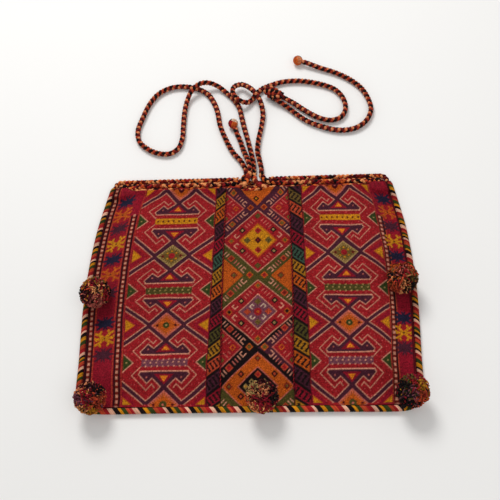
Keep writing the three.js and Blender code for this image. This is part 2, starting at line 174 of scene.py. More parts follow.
def front_under(x, y):
    depth = POUCH_DEPTH + (MOUTH_DEPTH - POUCH_DEPTH) * y / FRONT_HEIGHT
    return CLOTH_SEAT_Z + rise_share(x, y) * depth


def front_rim_z(x, radius):
    low = CLOTH_SEAT_Z + radius
    return low + rise_share(x, FRONT_HEIGHT) * (MOUTH_RUN_Z - low)


# Camera, at the photograph's angle

CAMERA_PLACE = (58.8, -258.9, 831.6)
CAMERA_AIM = (0.7, 190.8, 0)
CAMERA_ROLL = -7.77
FOCAL_LENGTH = 57.6
SENSOR_WIDTH = 36


def aimed(place, aim):
    """Where something stands that looks from one place to another."""
    place, aim = Vector(place), Vector(aim)
    return Matrix.Translation(place) @ (aim - place).to_track_quat("-Z", "Y").to_matrix().to_4x4()


def add_object(name, data):
    obj = bpy.data.objects.new(name, data)
    bpy.context.scene.collection.objects.link(obj)
    return obj


def add_camera():
    data = bpy.data.cameras.new("camera")
    data.lens = FOCAL_LENGTH
    data.sensor_width = SENSOR_WIDTH
    data.sensor_fit = "HORIZONTAL"
    camera = add_object("camera", data)
    roll = Matrix.Rotation(math.radians(CAMERA_ROLL), 4, "Z")
    camera.matrix_world = aimed(row_point(*CAMERA_PLACE), row_point(*CAMERA_AIM)) @ roll
    bpy.context.scene.camera = camera


# Colours of the wool, as they look in daylight

WOOL = {
    "red": (148, 27, 32), "crimson": (136, 19, 36), "maroon": (70, 12, 20), "cream": (206, 138, 112),
    "pink": (188, 96, 82), "purple": (70, 29, 42), "yellow": (192, 124, 20), "orange": (180, 80, 22),
    "amber": (216, 118, 26), "tangerine": (200, 90, 36), "coral": (178, 66, 38), "brick": (112, 28, 20),
    "peach": (222, 142, 88), "fawn": (208, 126, 84), "rust": (164, 58, 34), "wine": (98, 24, 26),
    "green": (74, 66, 28), "leaf": (50, 60, 24), "teal": (54, 78, 62), "mauve": (112, 60, 72), "olive": (100, 76, 34),
    "sand": (162, 130, 78), "navy": (32, 28, 50), "black": (24, 14, 15), "mustard": (160, 106, 24),
    "shell": (220, 166, 138), "white": (210, 176, 150),
}


def linear(colour):
    """A wool's name or a screen colour of 0 to 255 as a linear colour."""
    c = np.asarray(WOOL[colour] if isinstance(colour, str) else colour, float) / 255
    return np.where(c <= 0.04045, c / 12.92, ((c + 0.055) / 1.055) ** 2.4)


# Materials

class Nodes:
    """The nodes of one material."""

    def __init__(self, name):
        self.material = bpy.data.materials.new(name)
        self.material.use_nodes = True
        self.tree = self.material.node_tree
        self.tree.nodes.clear()

    def add(self, kind, inputs, output=0, **settings):
        """Adds a node whose inputs are values or other nodes' outputs, and gives one of its outputs."""
        node = self.tree.nodes.new(f"ShaderNode{kind}")
        for name, value in settings.items():
            setattr(node, name, value)
        for name, value in inputs.items():
            if isinstance(value, bpy.types.NodeSocket):
                self.tree.links.new(value, node.inputs[name])
            else:
                node.inputs[name].default_value = value
        return node.outputs[output] if node.outputs else None

    def math(self, operation, *values):
        return self.add("Math", dict(enumerate(values)), operation=operation)

    def multiply(self, a, b):
        return self.add("Mix", {"Factor": 1, "A": a, "B": b}, "Result", data_type="RGBA", blend_type="MULTIPLY")

    def attribute(self, name, output):
        return self.add("Attribute", {}, output, attribute_name=name)

    def turns(self, distance, pitch):
        """An angle that makes a full turn in each pitch."""
        return self.math("MULTIPLY", distance, math.tau / (pitch * MM))

    def mottled_wool(self, place, scale, low, high):
        """The wool's colour made lighter and darker by a noise, and the noise."""
        noise = self.add("TexNoise", {"Vector": place, "Scale": scale, "Detail": 3}, "Fac")
        levels = {"Value": noise, "From Min": 0.3, "From Max": 0.7, "To Min": low, "To Max": high}
        return self.multiply(self.attribute("wool", "Color"), self.add("MapRange", levels)), noise

    def surface(self, **values):
        """Ends the material. A name's spaces are written as low lines."""
        inputs = {name.replace("_", " "): value for name, value in values.items()}
        self.add("OutputMaterial", {"Surface": self.add("BsdfPrincipled", inputs)})
        return self.material

    def soft_surface(self, colour, height, distance, strength, roughness, sheen):
        normal = self.add("Bump", {"Distance": distance * MM, "Strength": strength, "Height": height})
        return self.surface(
            Base_Color=colour, Normal=normal, Roughness=roughness, Specular_IOR_Level=0.06, Sheen_Weight=sheen,
            Sheen_Roughness=0.5,
        )


def woven_material(name, weft, warp):
    """Cloth in which threads cross: weft and warp are the threads' pitches."""
    nodes = Nodes(name)
    place = nodes.attribute("cloth", "Vector")
    across = nodes.add("SeparateXYZ", {0: place}, "X")
    ways = ((across, warp), (across.node.outputs["Y"], weft))
    crossing = nodes.math("MULTIPLY", *(nodes.math("SINE", nodes.turns(*way)) for way in ways))
    colour, grain = nodes.mottled_wool(place, 800, 0.62, 1.36)
    # The crossings also change the colour: painted shade where the threads dip and painted light where they rise.
    colour = nodes.multiply(colour, nodes.math("MULTIPLY_ADD", crossing, 0.07, 0.97))
    return nodes.soft_surface(colour, nodes.math("ADD", crossing, grain), 0.3, 0.8, 0.95, 0.02)


def yarn_material(name, ply, roughness=0.92, sheen=0.03):
    """Spun yarn: fine slanted fibres of a given pitch along each strand."""
    nodes = Nodes(name)
    place = nodes.attribute("strand", "Vector")
    along = nodes.add("SeparateXYZ", {0: place}, "X")
    plies = nodes.math("SINE", nodes.math("ADD", nodes.turns(along, ply), along.node.outputs["Y"]))
    colour, grain = nodes.mottled_wool(place, 900, 0.74, 1.2)
    return nodes.soft_surface(colour, nodes.math("ADD", plies, grain), 0.22, 0.7, roughness, sheen)


MATERIALS = {
    **{name: woven_material(name, 1.25, 1.05) for name in ("kilim_cloth", "kilim_centre")},
    "back_cloth": woven_material("back_cloth", 1.9, 1.5),
    "pompom_wool": yarn_material("pompom_wool", 1.3, 0.96, 0.04),
}
YARN_PLIES = {"seam_thread": 1.2, "edge_cord": 2.2, "rim_braid": 1.8, "drawcord": 2, "knob_yarn": 1.6, "tie_yarn": 1.5}
MATERIALS.update((name, yarn_material(name, ply)) for name, ply in YARN_PLIES.items())


# Meshes

def make_object(name, points, faces, slot, colours, coordinates, coordinate_name):
    """An object from points in bag millimetres, with a colour and a coordinate at each point."""
    mesh = bpy.data.meshes.new(name)
    mesh.from_pydata(to_row(points).tolist(), [], faces)
    mesh.validate()
    mesh.polygons.foreach_set("use_smooth", [True] * len(mesh.polygons))
    wool = mesh.color_attributes.new("wool", "FLOAT_COLOR", "POINT")
    rgba = np.concatenate([np.clip(colours, 0, 1), np.ones((len(colours), 1))], axis=1)
    wool.data.foreach_set("color", rgba.astype(np.float32).ravel())
    place = mesh.attributes.new(coordinate_name, "FLOAT_VECTOR", "POINT")
    place.data.foreach_set("vector", np.asarray(coordinates, np.float32).ravel())
    mesh.materials.append(MATERIALS[slot])
    obj = add_object(name, mesh)
    return obj


def dress(piece, body, *nodes):
    """Lets a piece stand for CAD nodes and move with a body."""
    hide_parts(*nodes)
    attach(piece, body)


def quads_of(rows):
    """Faces between rows of point numbers."""
    return np.stack([rows[:-1, :-1], rows[:-1, 1:], rows[1:, 1:], rows[1:, :-1]], axis=-1).reshape(-1, 4)


def closed(rings):
    return np.append(rings, rings[:, :1], axis=1)


# The order of a face's points, seen from its other side
TURNED = [0, 3, 2, 1]


class Skein:
    """Gathers tubes into one mesh. Each tube has a colour and knows how far along it a point is."""

    def __init__(self):
        self.points, self.faces, self.colours, self.places = [], [], [], []
        self.count = 0

    def tube(self, path, outward, width, depth, colour, sides=8):
        """A closed tube along path, whose section is an ellipse of half sizes width, across, and depth, outward."""
        path, outward, n = np.asarray(path, float), np.asarray(outward, float), len(path)
        forward = unit(np.gradient(path, axis=0))
        outward = unit(outward - forward * np.sum(outward * forward, axis=1, keepdims=True))
        across = np.cross(forward, outward)
        angles = np.arange(sides) * math.tau / sides
        width, depth = np.broadcast_to(width, n), np.broadcast_to(depth, n)
        ring = (
            path[:, None]
            + across[:, None] * (width[:, None] * np.cos(angles))[..., None]
            + outward[:, None] * (depth[:, None] * np.sin(angles))[..., None]
        )
        place = np.zeros((n, sides, 3))
        place[..., 0] = (lengths_along(path) + rng.uniform(0, 40))[:, None] * MM
        place[..., 1] = angles
        place[..., 2] = rng.uniform(0, 1)
        rings = self.count + np.arange(n * sides).reshape(n, sides)
        self.faces += [*quads_of(closed(rings)).tolist(), rings[0][::-1].tolist(), rings[-1].tolist()]
        self.points.append(ring.reshape(-1, 3))
        self.places.append(place.reshape(-1, 3))
        self.colours.append(np.repeat(np.broadcast_to(np.atleast_2d(colour), (n, 3)), sides, axis=0))
        self.count += n * sides

    def finish(self, name, slot):
        points, colours, places = (np.concatenate(v) for v in (self.points, self.colours, self.places))
        return make_object(name, points, self.faces, slot, colours, places, "strand")


# Routes of cords and braids

ROUTE_STEPS = 24


def smooth_route(points, step=0.6):
    """Even points along the smooth curve that the solids of a cord follow."""
    p = np.asarray(points, float)
    ends = np.concatenate([[2 * p[0] - p[1]], p, [2 * p[-1] - p[-2]]])
    curve = []
    t = np.linspace(0, 1, ROUTE_STEPS, endpoint=False)[:, None]
    for a, b, c, d in zip(ends, ends[1:], ends[2:], ends[3:]):
        t0, t1, t2 = (math.sqrt(max(np.linalg.norm(v - u), 1e-6)) for u, v in ((a, b), (b, c), (c, d)))
        m1 = ((b - a) / t0 - (c - a) / (t0 + t1) + (c - b) / t1) * t1
        m2 = ((c - b) / t1 - (d - b) / (t1 + t2) + (d - c) / t2) * t1
        curve.append(hermite(t, b, c, m1, m2))
    curve = np.concatenate([*curve, p[-1:]])
    lengths = lengths_along(curve)
    count = max(2, int(round(lengths[-1] / step)) + 1)
    return spread_along(np.linspace(0, lengths[-1], count), lengths, curve)


def frames_along(path):
    """Directions across and up at each point of a path, and how far along it the point is."""
    forward = unit(np.gradient(path, axis=0))
    up = unit(np.array([0, 0, 1]) - forward * forward[:, 2:])
    return np.cross(forward, up), up, lengths_along(path)


def mottled(along, length, spread):
    """Factors that change at random along a strand, about once in a length."""
    marks = np.arange(0, along[-1] + 2 * length, length)
    return np.interp(along, marks, rng.uniform(1 - spread, 1 + spread, len(marks)))


# A braid's strands: how thick each is, how far it swings in and out and how wide it is, as shares of the braid's
# radius, and the length in which the whole braid turns once
STRAND_DEPTH = 0.31
STRAND_SWING = 0.19
STRAND_WIDTHS = {"black": 0.66}
STRAND_WIDTH = 0.46
BRAID_TWIST = 300


def braid(name, slot, path, diameter, turn, colours, frames=None, spread=0.12, mix=()):
    """A round braid of four strands. Two wind one way and two the other, over and under in turn.

    If a mix of wools is given, each strand changes its wool at random, where it is under the others."""
    across, up, along = frames or frames_along(path)
    skein = Skein()
    radius = diameter / 2
    middle = radius * (1 - STRAND_DEPTH - STRAND_SWING)
    phase = along * math.tau / turn
    lay = along * math.tau / BRAID_TWIST
    for number, (hand, colour) in enumerate(zip((1, -1, 1, -1), colours)):
        outward = around(across, up, hand * phase + (number // 2) * math.pi + math.pi / 4 + lay)
        reach = middle + hand * STRAND_SWING * radius * np.cos(2 * phase)
        wools = linear(colour)
        if mix:
            beats = np.floor(phase / math.pi - (0.5 if hand > 0 else 0)).astype(int)
            picks = rng.integers(len(mix), size=beats.max() - beats.min() + 1)
            wools = np.array([linear(wool) for wool in mix])[picks[beats - beats.min()]]
        shade = wools * mottled(along, turn / 2, spread)[:, None]
        wide = STRAND_WIDTHS.get(colour, STRAND_WIDTH) * radius
        skein.tube(path + outward * reach[:, None], outward, wide, STRAND_DEPTH * radius, shade)
    return skein.finish(name, slot)


# Where the cords leave the mouth

LIFTED_EXIT = math.sqrt(CROSSING_RISE**2 - (STRAND_PITCH / 2) ** 2)
EXITS = {
    "loop_start": (EXIT_MIDDLE - STRAND_PITCH, EXIT_Y, CORD_REST_Z),
    "loop_end": (EXIT_MIDDLE, EXIT_Y, CORD_REST_Z),
    "tie": (EXIT_MIDDLE + STRAND_PITCH, EXIT_Y, CORD_REST_Z),
    "short": (EXIT_MIDDLE - STRAND_PITCH / 2, EXIT_Y, CORD_REST_Z + LIFTED_EXIT),
}
EXIT_EASE = 6

# Free cords: each point is across, along from the mouth, and how far it is raised. 1 lies on another cord.
LOOP_ROUTE = [
    (-7.2, 11, 0), (-12.5, 21, 0), (-21.5, 33, 0), (-31, 53, 0), (-39.5, 77, 0), (-43, 97, 0),
    (-48.5, 114, 0), (-57, 128, 0), (-69, 136.5, 0), (-87, 142, 0), (-106, 141, 0), (-122, 132, 0),
    (-133.5, 115, 0), (-141, 93, 0), (-146, 71, 0), (-143, 55, 0), (-132, 43, 0), (-118, 35.5, 0),
    (-103, 34, 0), (-92.5, 41, 0), (-87.5, 57, 0), (-87, 76, 0), (-86.5, 99, 0), (-84, 116, 0.15),
    (-77.5, 130, 0.75), (-67, 138.5, 1.08), (-56, 141, 0.9), (-44, 139, 0.3), (-32, 129, 0),
    (-22, 117, 0), (-15, 104, 0), (-11.5, 88, 0), (-8.2, 72, 0), (-3.6, 53, 0), (0.6, 34, 0), (3.7, 18, 0),
]
TIE_ROUTE = [
    (11.8, 20, 0), (9.3, 33, 0), (10.5, 52, 0), (14, 72, 0), (16, 92, 0.1), (12.5, 110, 0.6),
    (4.8, 122.5, 1.05), (-4.5, 133, 0.85), (-13.5, 139, 0.5), (-21, 135.5, 0.6), (-23.5, 126, 0.95),
    (-20, 115.5, 1.08), (-12.5, 108.5, 0.95), (-4, 110, 0.3), (2, 116.5, 0), (7.5, 126, 0),
    (15.5, 134, 0), (27, 139.5, 0), (40, 144, 0), (55, 145.5, 0), (69, 144.5, 0), (84, 141, 0),
    (98, 136, 0), (110, 129, 0), (118.5, 118, 0), (122.5, 105, 0), (121.5, 92, 0), (115, 82.5, 0),
    (104, 79, 0), (91.5, 81.8, 0), (79.5, 88.8, 0), (67.5, 98.2, 0), (56, 107.8, 0.1), (45, 114.6, 0.3),
]
TAIL_ROUTE = [
    (39.6, 108, 0.3), (48.2, 101.4, 0.1), (59, 91, 0), (72, 79.5, 0), (89, 70.2, 0), (107, 63.8, 0),
    (123, 62.8, 0), (137, 67, 0), (149, 78, 0), (155, 94, 0), (153, 110, 0), (145, 129, 0),
    (130, 145, 0), (112, 157, 0), (91, 166, 0.1), (76, 172.5, 0.3), (69, 175.5, 0.35),
]
SHORT_ROUTE = [
    (-1.4, 12, 0.84), (-4.4, 23, 0.5), (-8.6, 36, 0.06), (-12.9, 51, 0), (-17.6, 63, 0.15), (-20, 70, 0.31),
]


def route_points(route):
    return [(x, EXIT_Y + along, CORD_REST_Z + level * CROSSING_RISE) for x, along, level in route]


def leaving(exit_name):
    x, y, z = EXITS[exit_name]
    return [(x, y, z), (x, y + EXIT_EASE, z)]


FREE_CORDS = {
    "strap_loop_cord": leaving("loop_start") + route_points(LOOP_ROUTE) + leaving("loop_end")[::-1],
    "tie_cord": leaving("tie") + route_points(TIE_ROUTE),
    "tail_cord": route_points(TAIL_ROUTE),
    "short_cord": leaving("short") + route_points(SHORT_ROUTE),
}
CORD_COLOURS = ("black", "fawn", "rust", "wine")
CORD_TURN = 8.6
CORD_BRAID = (CORD_TURN, CORD_COLOURS, None, 0.2)
BRAID_SHARE = 0.93
KNOT_REACH = 9


def into_knot(path, first):
    """A path with an end that runs on into the slip knot."""
    if first:
        return into_knot(path[::-1], False)[::-1]
    way = unit(path[-1] - path[-4])
    return np.concatenate([path, path[-1] + way * np.arange(0.6, KNOT_REACH, 0.6)[:, None]])


def add_free_cords():
    """The four free stretches of the drawcord, beyond the mouth."""
    for name, points in FREE_CORDS.items():
        path = smooth_route(points)
        seen = into_knot(path, name == "tail_cord") if name in ("tie_cord", "tail_cord") else path
        cord = braid(f"{name}_braid", "drawcord", seen, BRAID_SHARE * CORD_DIAMETER, *CORD_BRAID)
        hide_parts(name)
        if name == "tail_cord":
            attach(cord, "strap")
        else:
            row_point(0, STRAP_BEND[0])
            row_point(0, STRAP_BEND[1])
            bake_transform(cord)
        row_point(*points[0])
        lengths_along(path)[-1] * MM
        to_row(seen[::4].tolist() + [seen[-1].tolist()])


# The woven pattern. Its own coordinates are in millimetres: u across and v up, before the cloth is stretched.

# Edges of its parts from left to right: border, field, slanted blocks, centre, slanted blocks, field, border
PARTS = (-192.25, -148.25, -52.75, -40, 41.5, 55.25, 146.75, 172.25)
BORDERS = {"left": PARTS[:2], "right": PARTS[6:]}
FIELDS = {"left": PARTS[1:3], "right": PARTS[5:7]}
DIAGONALS = {"left": PARTS[2:4], "right": PARTS[4:6]}
CENTRE = PARTS[3:5]
PATTERN_LEFT, PATTERN_RIGHT = PARTS[0], PARTS[-1]
PATTERN_LOW, PATTERN_HIGH = -4, 290
LINE = 0.95
PATTERN_STEP = 0.4


def diamond_points(centre, across, up):
    u, v = centre
    return [(u - across, v), (u, v - up), (u + across, v), (u, v + up)]


class Pattern:
    """A flat drawing of the cloth that keeps a colour and a height for each small cell."""

    def __init__(self):
        self.u = np.arange(PATTERN_LEFT - 2, PATTERN_RIGHT + 2, PATTERN_STEP)
        self.v = np.arange(PATTERN_LOW, PATTERN_HIGH, PATTERN_STEP)
        self.cells = np.zeros((len(self.v), len(self.u), 4))
        self.clip = (PATTERN_LEFT, PATTERN_RIGHT)

    def stamp(self, points, colour, margin, lift, closed, solid):
        """Paints the cells near a line or inside an outline."""
        points = np.asarray(points, float)
        low, high = points.min(axis=0) - margin - PATTERN_STEP, points.max(axis=0) + margin + PATTERN_STEP
        low[0], high[0] = max(low[0], self.clip[0]), min(high[0], self.clip[1])
        columns = slice(*np.searchsorted(self.u, (low[0], high[0])))
        rows = slice(*np.searchsorted(self.v, (low[1], high[1])))
        u, v = np.meshgrid(self.u[columns], self.v[rows])
        if not u.size:
            return
        far = np.full(u.shape, 1e3)
        inside = np.zeros(u.shape, bool)
        ends = np.roll(points, -1, axis=0) if closed else points[1:]
        for (au, av), (bu, bv) in zip(points, ends):
            du, dv = bu - au, bv - av
            t = np.clip(((u - au) * du + (v - av) * dv) / max(du * du + dv * dv, 1e-9), 0, 1)
            far = np.minimum(far, np.hypot(u - au - t * du, v - av - t * dv))
            if solid and abs(dv) > 1e-9:
                inside ^= ((av > v) != (bv > v)) & (u < au + (v - av) / dv * du)
        reach = np.where(inside, far, -far) if solid else margin - far
        share = np.clip(reach / PATTERN_STEP + 0.5, 0, 1)[..., None]
        self.cells[rows, columns] += (np.append(linear(colour), lift) - self.cells[rows, columns]) * share

    def fill(self, points, colour, lift=0.0):
        self.stamp(points, colour, 0, lift, True, True)

    def stroke(self, points, colour, width=LINE, lift=0.3, closed=False):
        self.stamp(points, colour, width / 2, lift, closed, False)

    def dot(self, centre, colour, radius=1.0, lift=0.25):
        self.stamp([centre, centre], colour, radius, lift, False, False)

    def mark(self, points, colour, width):
        """One point is a dot, no width makes a patch, and the rest are lines."""
        if len(points) == 1:
            self.dot(points[0], colour, width)
        elif width:
            self.stroke(points, colour, width)
        else:
            self.fill(points, colour)

    def line(self, u, colour, width, high=PATTERN_HIGH, lift=0.3):
        self.stroke([(u, PATTERN_LOW), (u, high)], colour, width, lift)

    def panel(self, left, right, colour, low=PATTERN_LOW, high=PATTERN_HIGH):
        self.fill([(left, low), (right, low), (right, high), (left, high)], colour)

    def diamond(self, centre, across, up, colour, edge=None, width=LINE):
        points = diamond_points(centre, across, up)
        self.fill(points, colour, 0.1)
        if edge:
            self.stroke(points, edge, width, closed=True)

    def sample(self, u, v):
        """Colours and heights at places between the cells."""
        i = np.clip((v - self.v[0]) / PATTERN_STEP, 0, len(self.v) - 1.001)
        j = np.clip((u - self.u[0]) / PATTERN_STEP, 0, len(self.u) - 1.001)
        i0, j0 = i.astype(int), j.astype(int)
        a, b = (i - i0)[..., None], (j - j0)[..., None]
        low = self.cells[i0, j0] * (1 - b) + self.cells[i0, j0 + 1] * b
        high = self.cells[i0 + 1, j0] * (1 - b) + self.cells[i0 + 1, j0 + 1] * b
        cells = low * (1 - a) + high * a
        return cells[..., :3], cells[..., 3]


# Heights of the medallions and of the bars between them, from the mouth down, with their colours
MEDALLIONS = [
    (264.75, "orange", "maroon", "pink"),
    (173, "olive", "red", "brick"),
    (86.75, "orange", "leaf", "sand"),
    (1.75, "orange", "green", "pink"),
]
BARS = [(220.5, "yellow", "black"), (128.5, "green", "sand"), (44.25, "mauve", "cream")]
# How far medallions and bars reach across, as a share of half the field, and up
MEDALLION_REACH = (0.345, 14.256)
BAR_REACH = (0.545, 3.9)
MEDALLION_TEETH = 7
BAR_SPOTS = 8
SPOT_PITCH = 6.4
BLACK_SPOT_PITCH = 6.5
OLIVE_DOTS = [(0, 6.3), (0, -6.3), (5, 3.6), (-5, 3.6), (5, -3.6), (-5, -3.6)]
# Outlines in a hooked figure: across, as a share of half the field, and from a bar to a medallion
BAND = [(0, 0.676), (-0.35, 1), (-0.48, 1.0), (-0.99, 0.58), (-0.99, 0.44), (-0.42, 0.905), (-0.08, 0.57), (0, 0.5)]
HOOKED = [(-0.56, 0.23), (-0.6, 0.285), (-0.41, 0.5), (-0.28, 0.385), (-0.08, 0.57), (0, 0.66)]
HOOK_LINE = [(-0.225, 0.595), (-0.29, 0.51), (-0.43, 0.65), (-0.765, 0.315), (-0.515, 0.055)]
# Marks on either side of a hooked figure, in order: points, wool and width
FIGURE_MARKS = [
    ([(-0.08, 0.57), (-0.42, 0.905), (-0.985, 0.44)], "cream", LINE),
    ([(-0.985, 0.58), (-0.48, 1.0)], "cream", LINE),
    (HOOKED[:-1], "cream", LINE),
    (HOOK_LINE, "cream", 0.9),
    ([(-0.41, 0.36)], "pink", 0.9),
    ([(-0.77, 1), (-0.97, 0.83), (-0.97, 1)], "yellow", 0),
    ([(-0.98, 0.82), (-0.755, 1)], "orange", 1.0),
    ([(-0.75, 0), (-0.98, 0.21), (-0.98, 0)], "leaf", 0),
    ([(-0.98, 0.225), (-0.74, 0)], "cream", 1.0),
    ([(-0.9, 0)], "sand", 0.9),
]


def field_middle(field):
    left, right = FIELDS[field]
    return (left + right) / 2, (right - left) / 2


def half_unit(pattern, field, bar_v, medallion_v):
    """Half of a hooked figure, from a bar up or down to the next medallion."""
    middle, half = field_middle(field)

    def place(points, side=1):
        return [(middle + side * a * half, bar_v + (medallion_v - bar_v) * b) for a, b in points]

    for side in SIDES:
        pattern.fill(place(BAND, side), "purple")
        pattern.fill(place([*HOOKED, (0, 0.23)], side), "purple")
    for side in SIDES:
        for points, colour, width in FIGURE_MARKS:
            pattern.mark(place(points, side), colour, width)
    pattern.stroke(place([(-0.57, 0.215), (0.57, 0.215)]), "cream", 1.35)
    pattern.fill(place([(-0.24, 0.285), (0.24, 0.285), (0, 0.52)]), "crimson")
    pattern.fill(place([(-0.1, 0.33), (0.1, 0.33), (0, 0.465)]), "amber", 0.15)


def paint_bar(pattern, field, v, ground, spots):
    middle, half = field_middle(field)
    reach, tall = BAR_REACH[0] * half, BAR_REACH[1]
    pattern.panel(middle - reach, middle + reach, ground, v - tall, v + tall)
    for k in np.arange(BAR_SPOTS) - (BAR_SPOTS - 1) / 2:
        if spots == "black":
            spot = (middle + k * BLACK_SPOT_PITCH, v)
            pattern.diamond(spot, 1.5, 2, "brick")
            pattern.dot(spot, "black", 0.8)
            continue
        pattern.dot((middle + k * SPOT_PITCH, v + 0.4), spots, 0.95)
        for edge in SIDES:
            pattern.dot((middle + (k + 0.2) * SPOT_PITCH, v + edge * 3.7), spots, 0.95)


def paint_medallion(pattern, field, v, ground, disk, spots):
    middle, half = field_middle(field)
    across, up = MEDALLION_REACH[0] * half, MEDALLION_REACH[1]
    edge = "sand" if ground == "olive" else "pink"
    outline = diamond_points((middle, v), across, up)
    pattern.fill(outline, ground, 0.1)
    for share in np.arange(1 - MEDALLION_TEETH, MEDALLION_TEETH) / MEDALLION_TEETH:
        for side in SIDES:
            outer = (middle + share * across * 0.96, v + side * up * (1 - abs(share)) * 0.96)
            inner = (middle + share * across * 0.8, v + side * up * (1 - abs(share)) * 0.72)
            pattern.stroke([outer, inner], edge, 0.8, 0.15)
    pattern.stroke(outline, edge, 1.3, closed=True)
    if ground == "olive":
        for u, w in OLIVE_DOTS:
            pattern.dot((middle + u, v + w), "yellow", 1.1)
    pattern.dot((middle, v), disk, 4.2 if spots == "pink" else 3.7)
    if spots != "brick":
        pattern.dot((middle, v), spots, 1.2)
    for side in SIDES:
        for colour, radius in (("brick", 1.7), ("black", 0.8)):
            pattern.dot((middle + side * 10.3, v), colour, radius)


FLECK_PITCH = 6.4
FLECK_STRAY = 1.6
FLECK_COLOUR = (192, 80, 78)


def paint_field(pattern, field):
    left, right = pattern.clip = FIELDS[field]
    pattern.panel(left, right, "red")
    for u in np.arange(left + 3, right, FLECK_PITCH):
        for v in np.arange(PATTERN_LOW, PATTERN_HIGH, FLECK_PITCH):
            shift = rng.uniform(-FLECK_STRAY, FLECK_STRAY, 2)
            pattern.dot((u + shift[0], v + shift[1]), FLECK_COLOUR, 0.6, 0.1)
    for v, *_ in MEDALLIONS:
        for side, edge in zip(SIDES, FIELDS[field]):
            pattern.fill([(edge, v - 16), (edge, v + 16), (edge - side * 17, v)], "crimson")
    for k, (bar_v, ground, spots) in enumerate(BARS):
        half_unit(pattern, field, bar_v, MEDALLIONS[k][0])
        half_unit(pattern, field, bar_v, MEDALLIONS[k + 1][0])
        paint_bar(pattern, field, bar_v, ground, spots)
    for medallion in MEDALLIONS:
        paint_medallion(pattern, field, *medallion)


# Middles and wools of the slanted blocks beside the centre, from the mouth down
BLOCKS = {
    "left": [
        (266, "purple"), (248, "mustard"), (229.25, "orange"), (207, "purple"), (186.75, "crimson"), (166.75, "teal"),
        (144.5, "mustard"), (126.75, "orange"), (109.25, "purple"), (91.75, "crimson"), (74.25, "green"),
        (58.5, "mustard"), (40.5, "coral"), (24.25, "purple"), (7, "crimson"), (-8, "mustard"),
    ],
    "right": [
        (268, "purple"), (252, "olive"), (234.25, "coral"), (213, "purple"), (191.75, "crimson"), (172, "teal"),
        (154.25, "mustard"), (138, "orange"), (117.5, "purple"), (97.5, "crimson"), (79.25, "green"),
        (61.75, "mustard"), (44.25, "orange"), (26.75, "purple"), (10, "crimson"), (-6, "mustard"),
    ],
}
# Where the first block starts above its lower end, and the last one ends below its upper end
BLOCK_ENDS = (22, 16)
BLOCK_SLOPE = 0.9
# The dark strokes across a block: how many, how far they are spread, how tall, how slanted and how hooked
BLOCK_STROKES = 4
STROKE_SPREAD = 0.95
STROKE_RISE = 0.18
STROKE_LEAN = 0.6
STROKE_HOOK = 0.07


def paint_diagonals(pattern, side):
    """Slanted blocks of changing wools, each with dark strokes across it."""
    left, right = pattern.clip = DIAGONALS[side]
    middle, width = (left + right) / 2, right - left
    way = 1 if side == "left" else -1
    blocks = BLOCKS[side]
    joins = [(a[0] + b[0]) / 2 for a, b in zip(blocks, blocks[1:])]
    joins = [joins[0] + BLOCK_ENDS[0], *joins, joins[-1] - BLOCK_ENDS[1]]
    for (v, colour), high, low in zip(blocks, joins, joins[1:]):
        rise = way * BLOCK_SLOPE * width / 2
        corners = [(left, high - rise), (right, high + rise), (right, low + rise), (left, low - rise)]
        pattern.fill(corners, colour)
        tall = (high - low) * STROKE_RISE
        lean, hook = way * tall * STROKE_LEAN, way * width * STROKE_HOOK
        for k in np.arange(BLOCK_STROKES) - (BLOCK_STROKES - 1) / 2:
            aside = k * width / BLOCK_STROKES * STROKE_SPREAD
            u, w = middle + aside, (high + low) / 2 + way * aside * BLOCK_SLOPE
            points = [
                (u - lean + hook, w + tall), (u - lean, w + tall - 0.6),
                (u + lean, w - tall + 0.6), (u + lean - hook, w - tall),
            ]
            pattern.stroke(points, "black", 1.7, 0.2)
        pattern.stroke(corners[:2], "black", 2.6, 0.2)
    for u in (left, right):
        pattern.line(u, "maroon", 1.5)


# Crossings of the centre's bands: their height and wool, the squares' wools near and far, and the side triangles
CROSSINGS = [
    (236.25, "purple", ("brick", "orange"), ("olive", "orange"), "red"),
    (145.5, "green", ("red", "orange"), ("brick", "coral"), "orange"),
    (59.75, "black", ("olive", "orange"), ("red", "coral"), "red"),
    (-24, "green", ("red", "orange"), ("brick", "coral"), "orange"),
]
CROSSING_MIDDLE = 0.6
SQUARE_ASIDE = 8.6
APEX_ASIDE = 17.2
TRIANGLE_RISE = 22
ARM_WAY = (0.715, 0.7)
ARM_MARKS = {"hook": 10, "ticks": (16.2, 20.3, 24.4), "square": 31.5, "end_ticks": (37.6, 41.4)}


def mark_tick(pattern, centre, way, long=4.6, colour="cream", width=1.15):
    u, v = centre
    du, dv = way[1] * long / 2, -way[0] * long / 2
    pattern.stroke([(u - du, v - dv), (u + du, v + dv)], colour, width, 0.25)


def mark_hook(pattern, centre, way, size=2.5, colour="cream"):
    """Three sides of a small square, open behind it."""
    u, v = centre
    (du, dv), (eu, ev) = way, (way[1], -way[0])
    corners = [(-1, -1), (1, -1), (1, 1), (-0.2, 1)]
    points = [(u + size * (a * du + b * eu), v + size * (a * dv + b * ev)) for a, b in corners]
    pattern.stroke(points, colour, 1.2, 0.25)


def mark_square(pattern, centre, fill, edge, size=3.4):
    pattern.diamond(centre, size * 1.12, size * 1.12, fill, edge, 1.15)


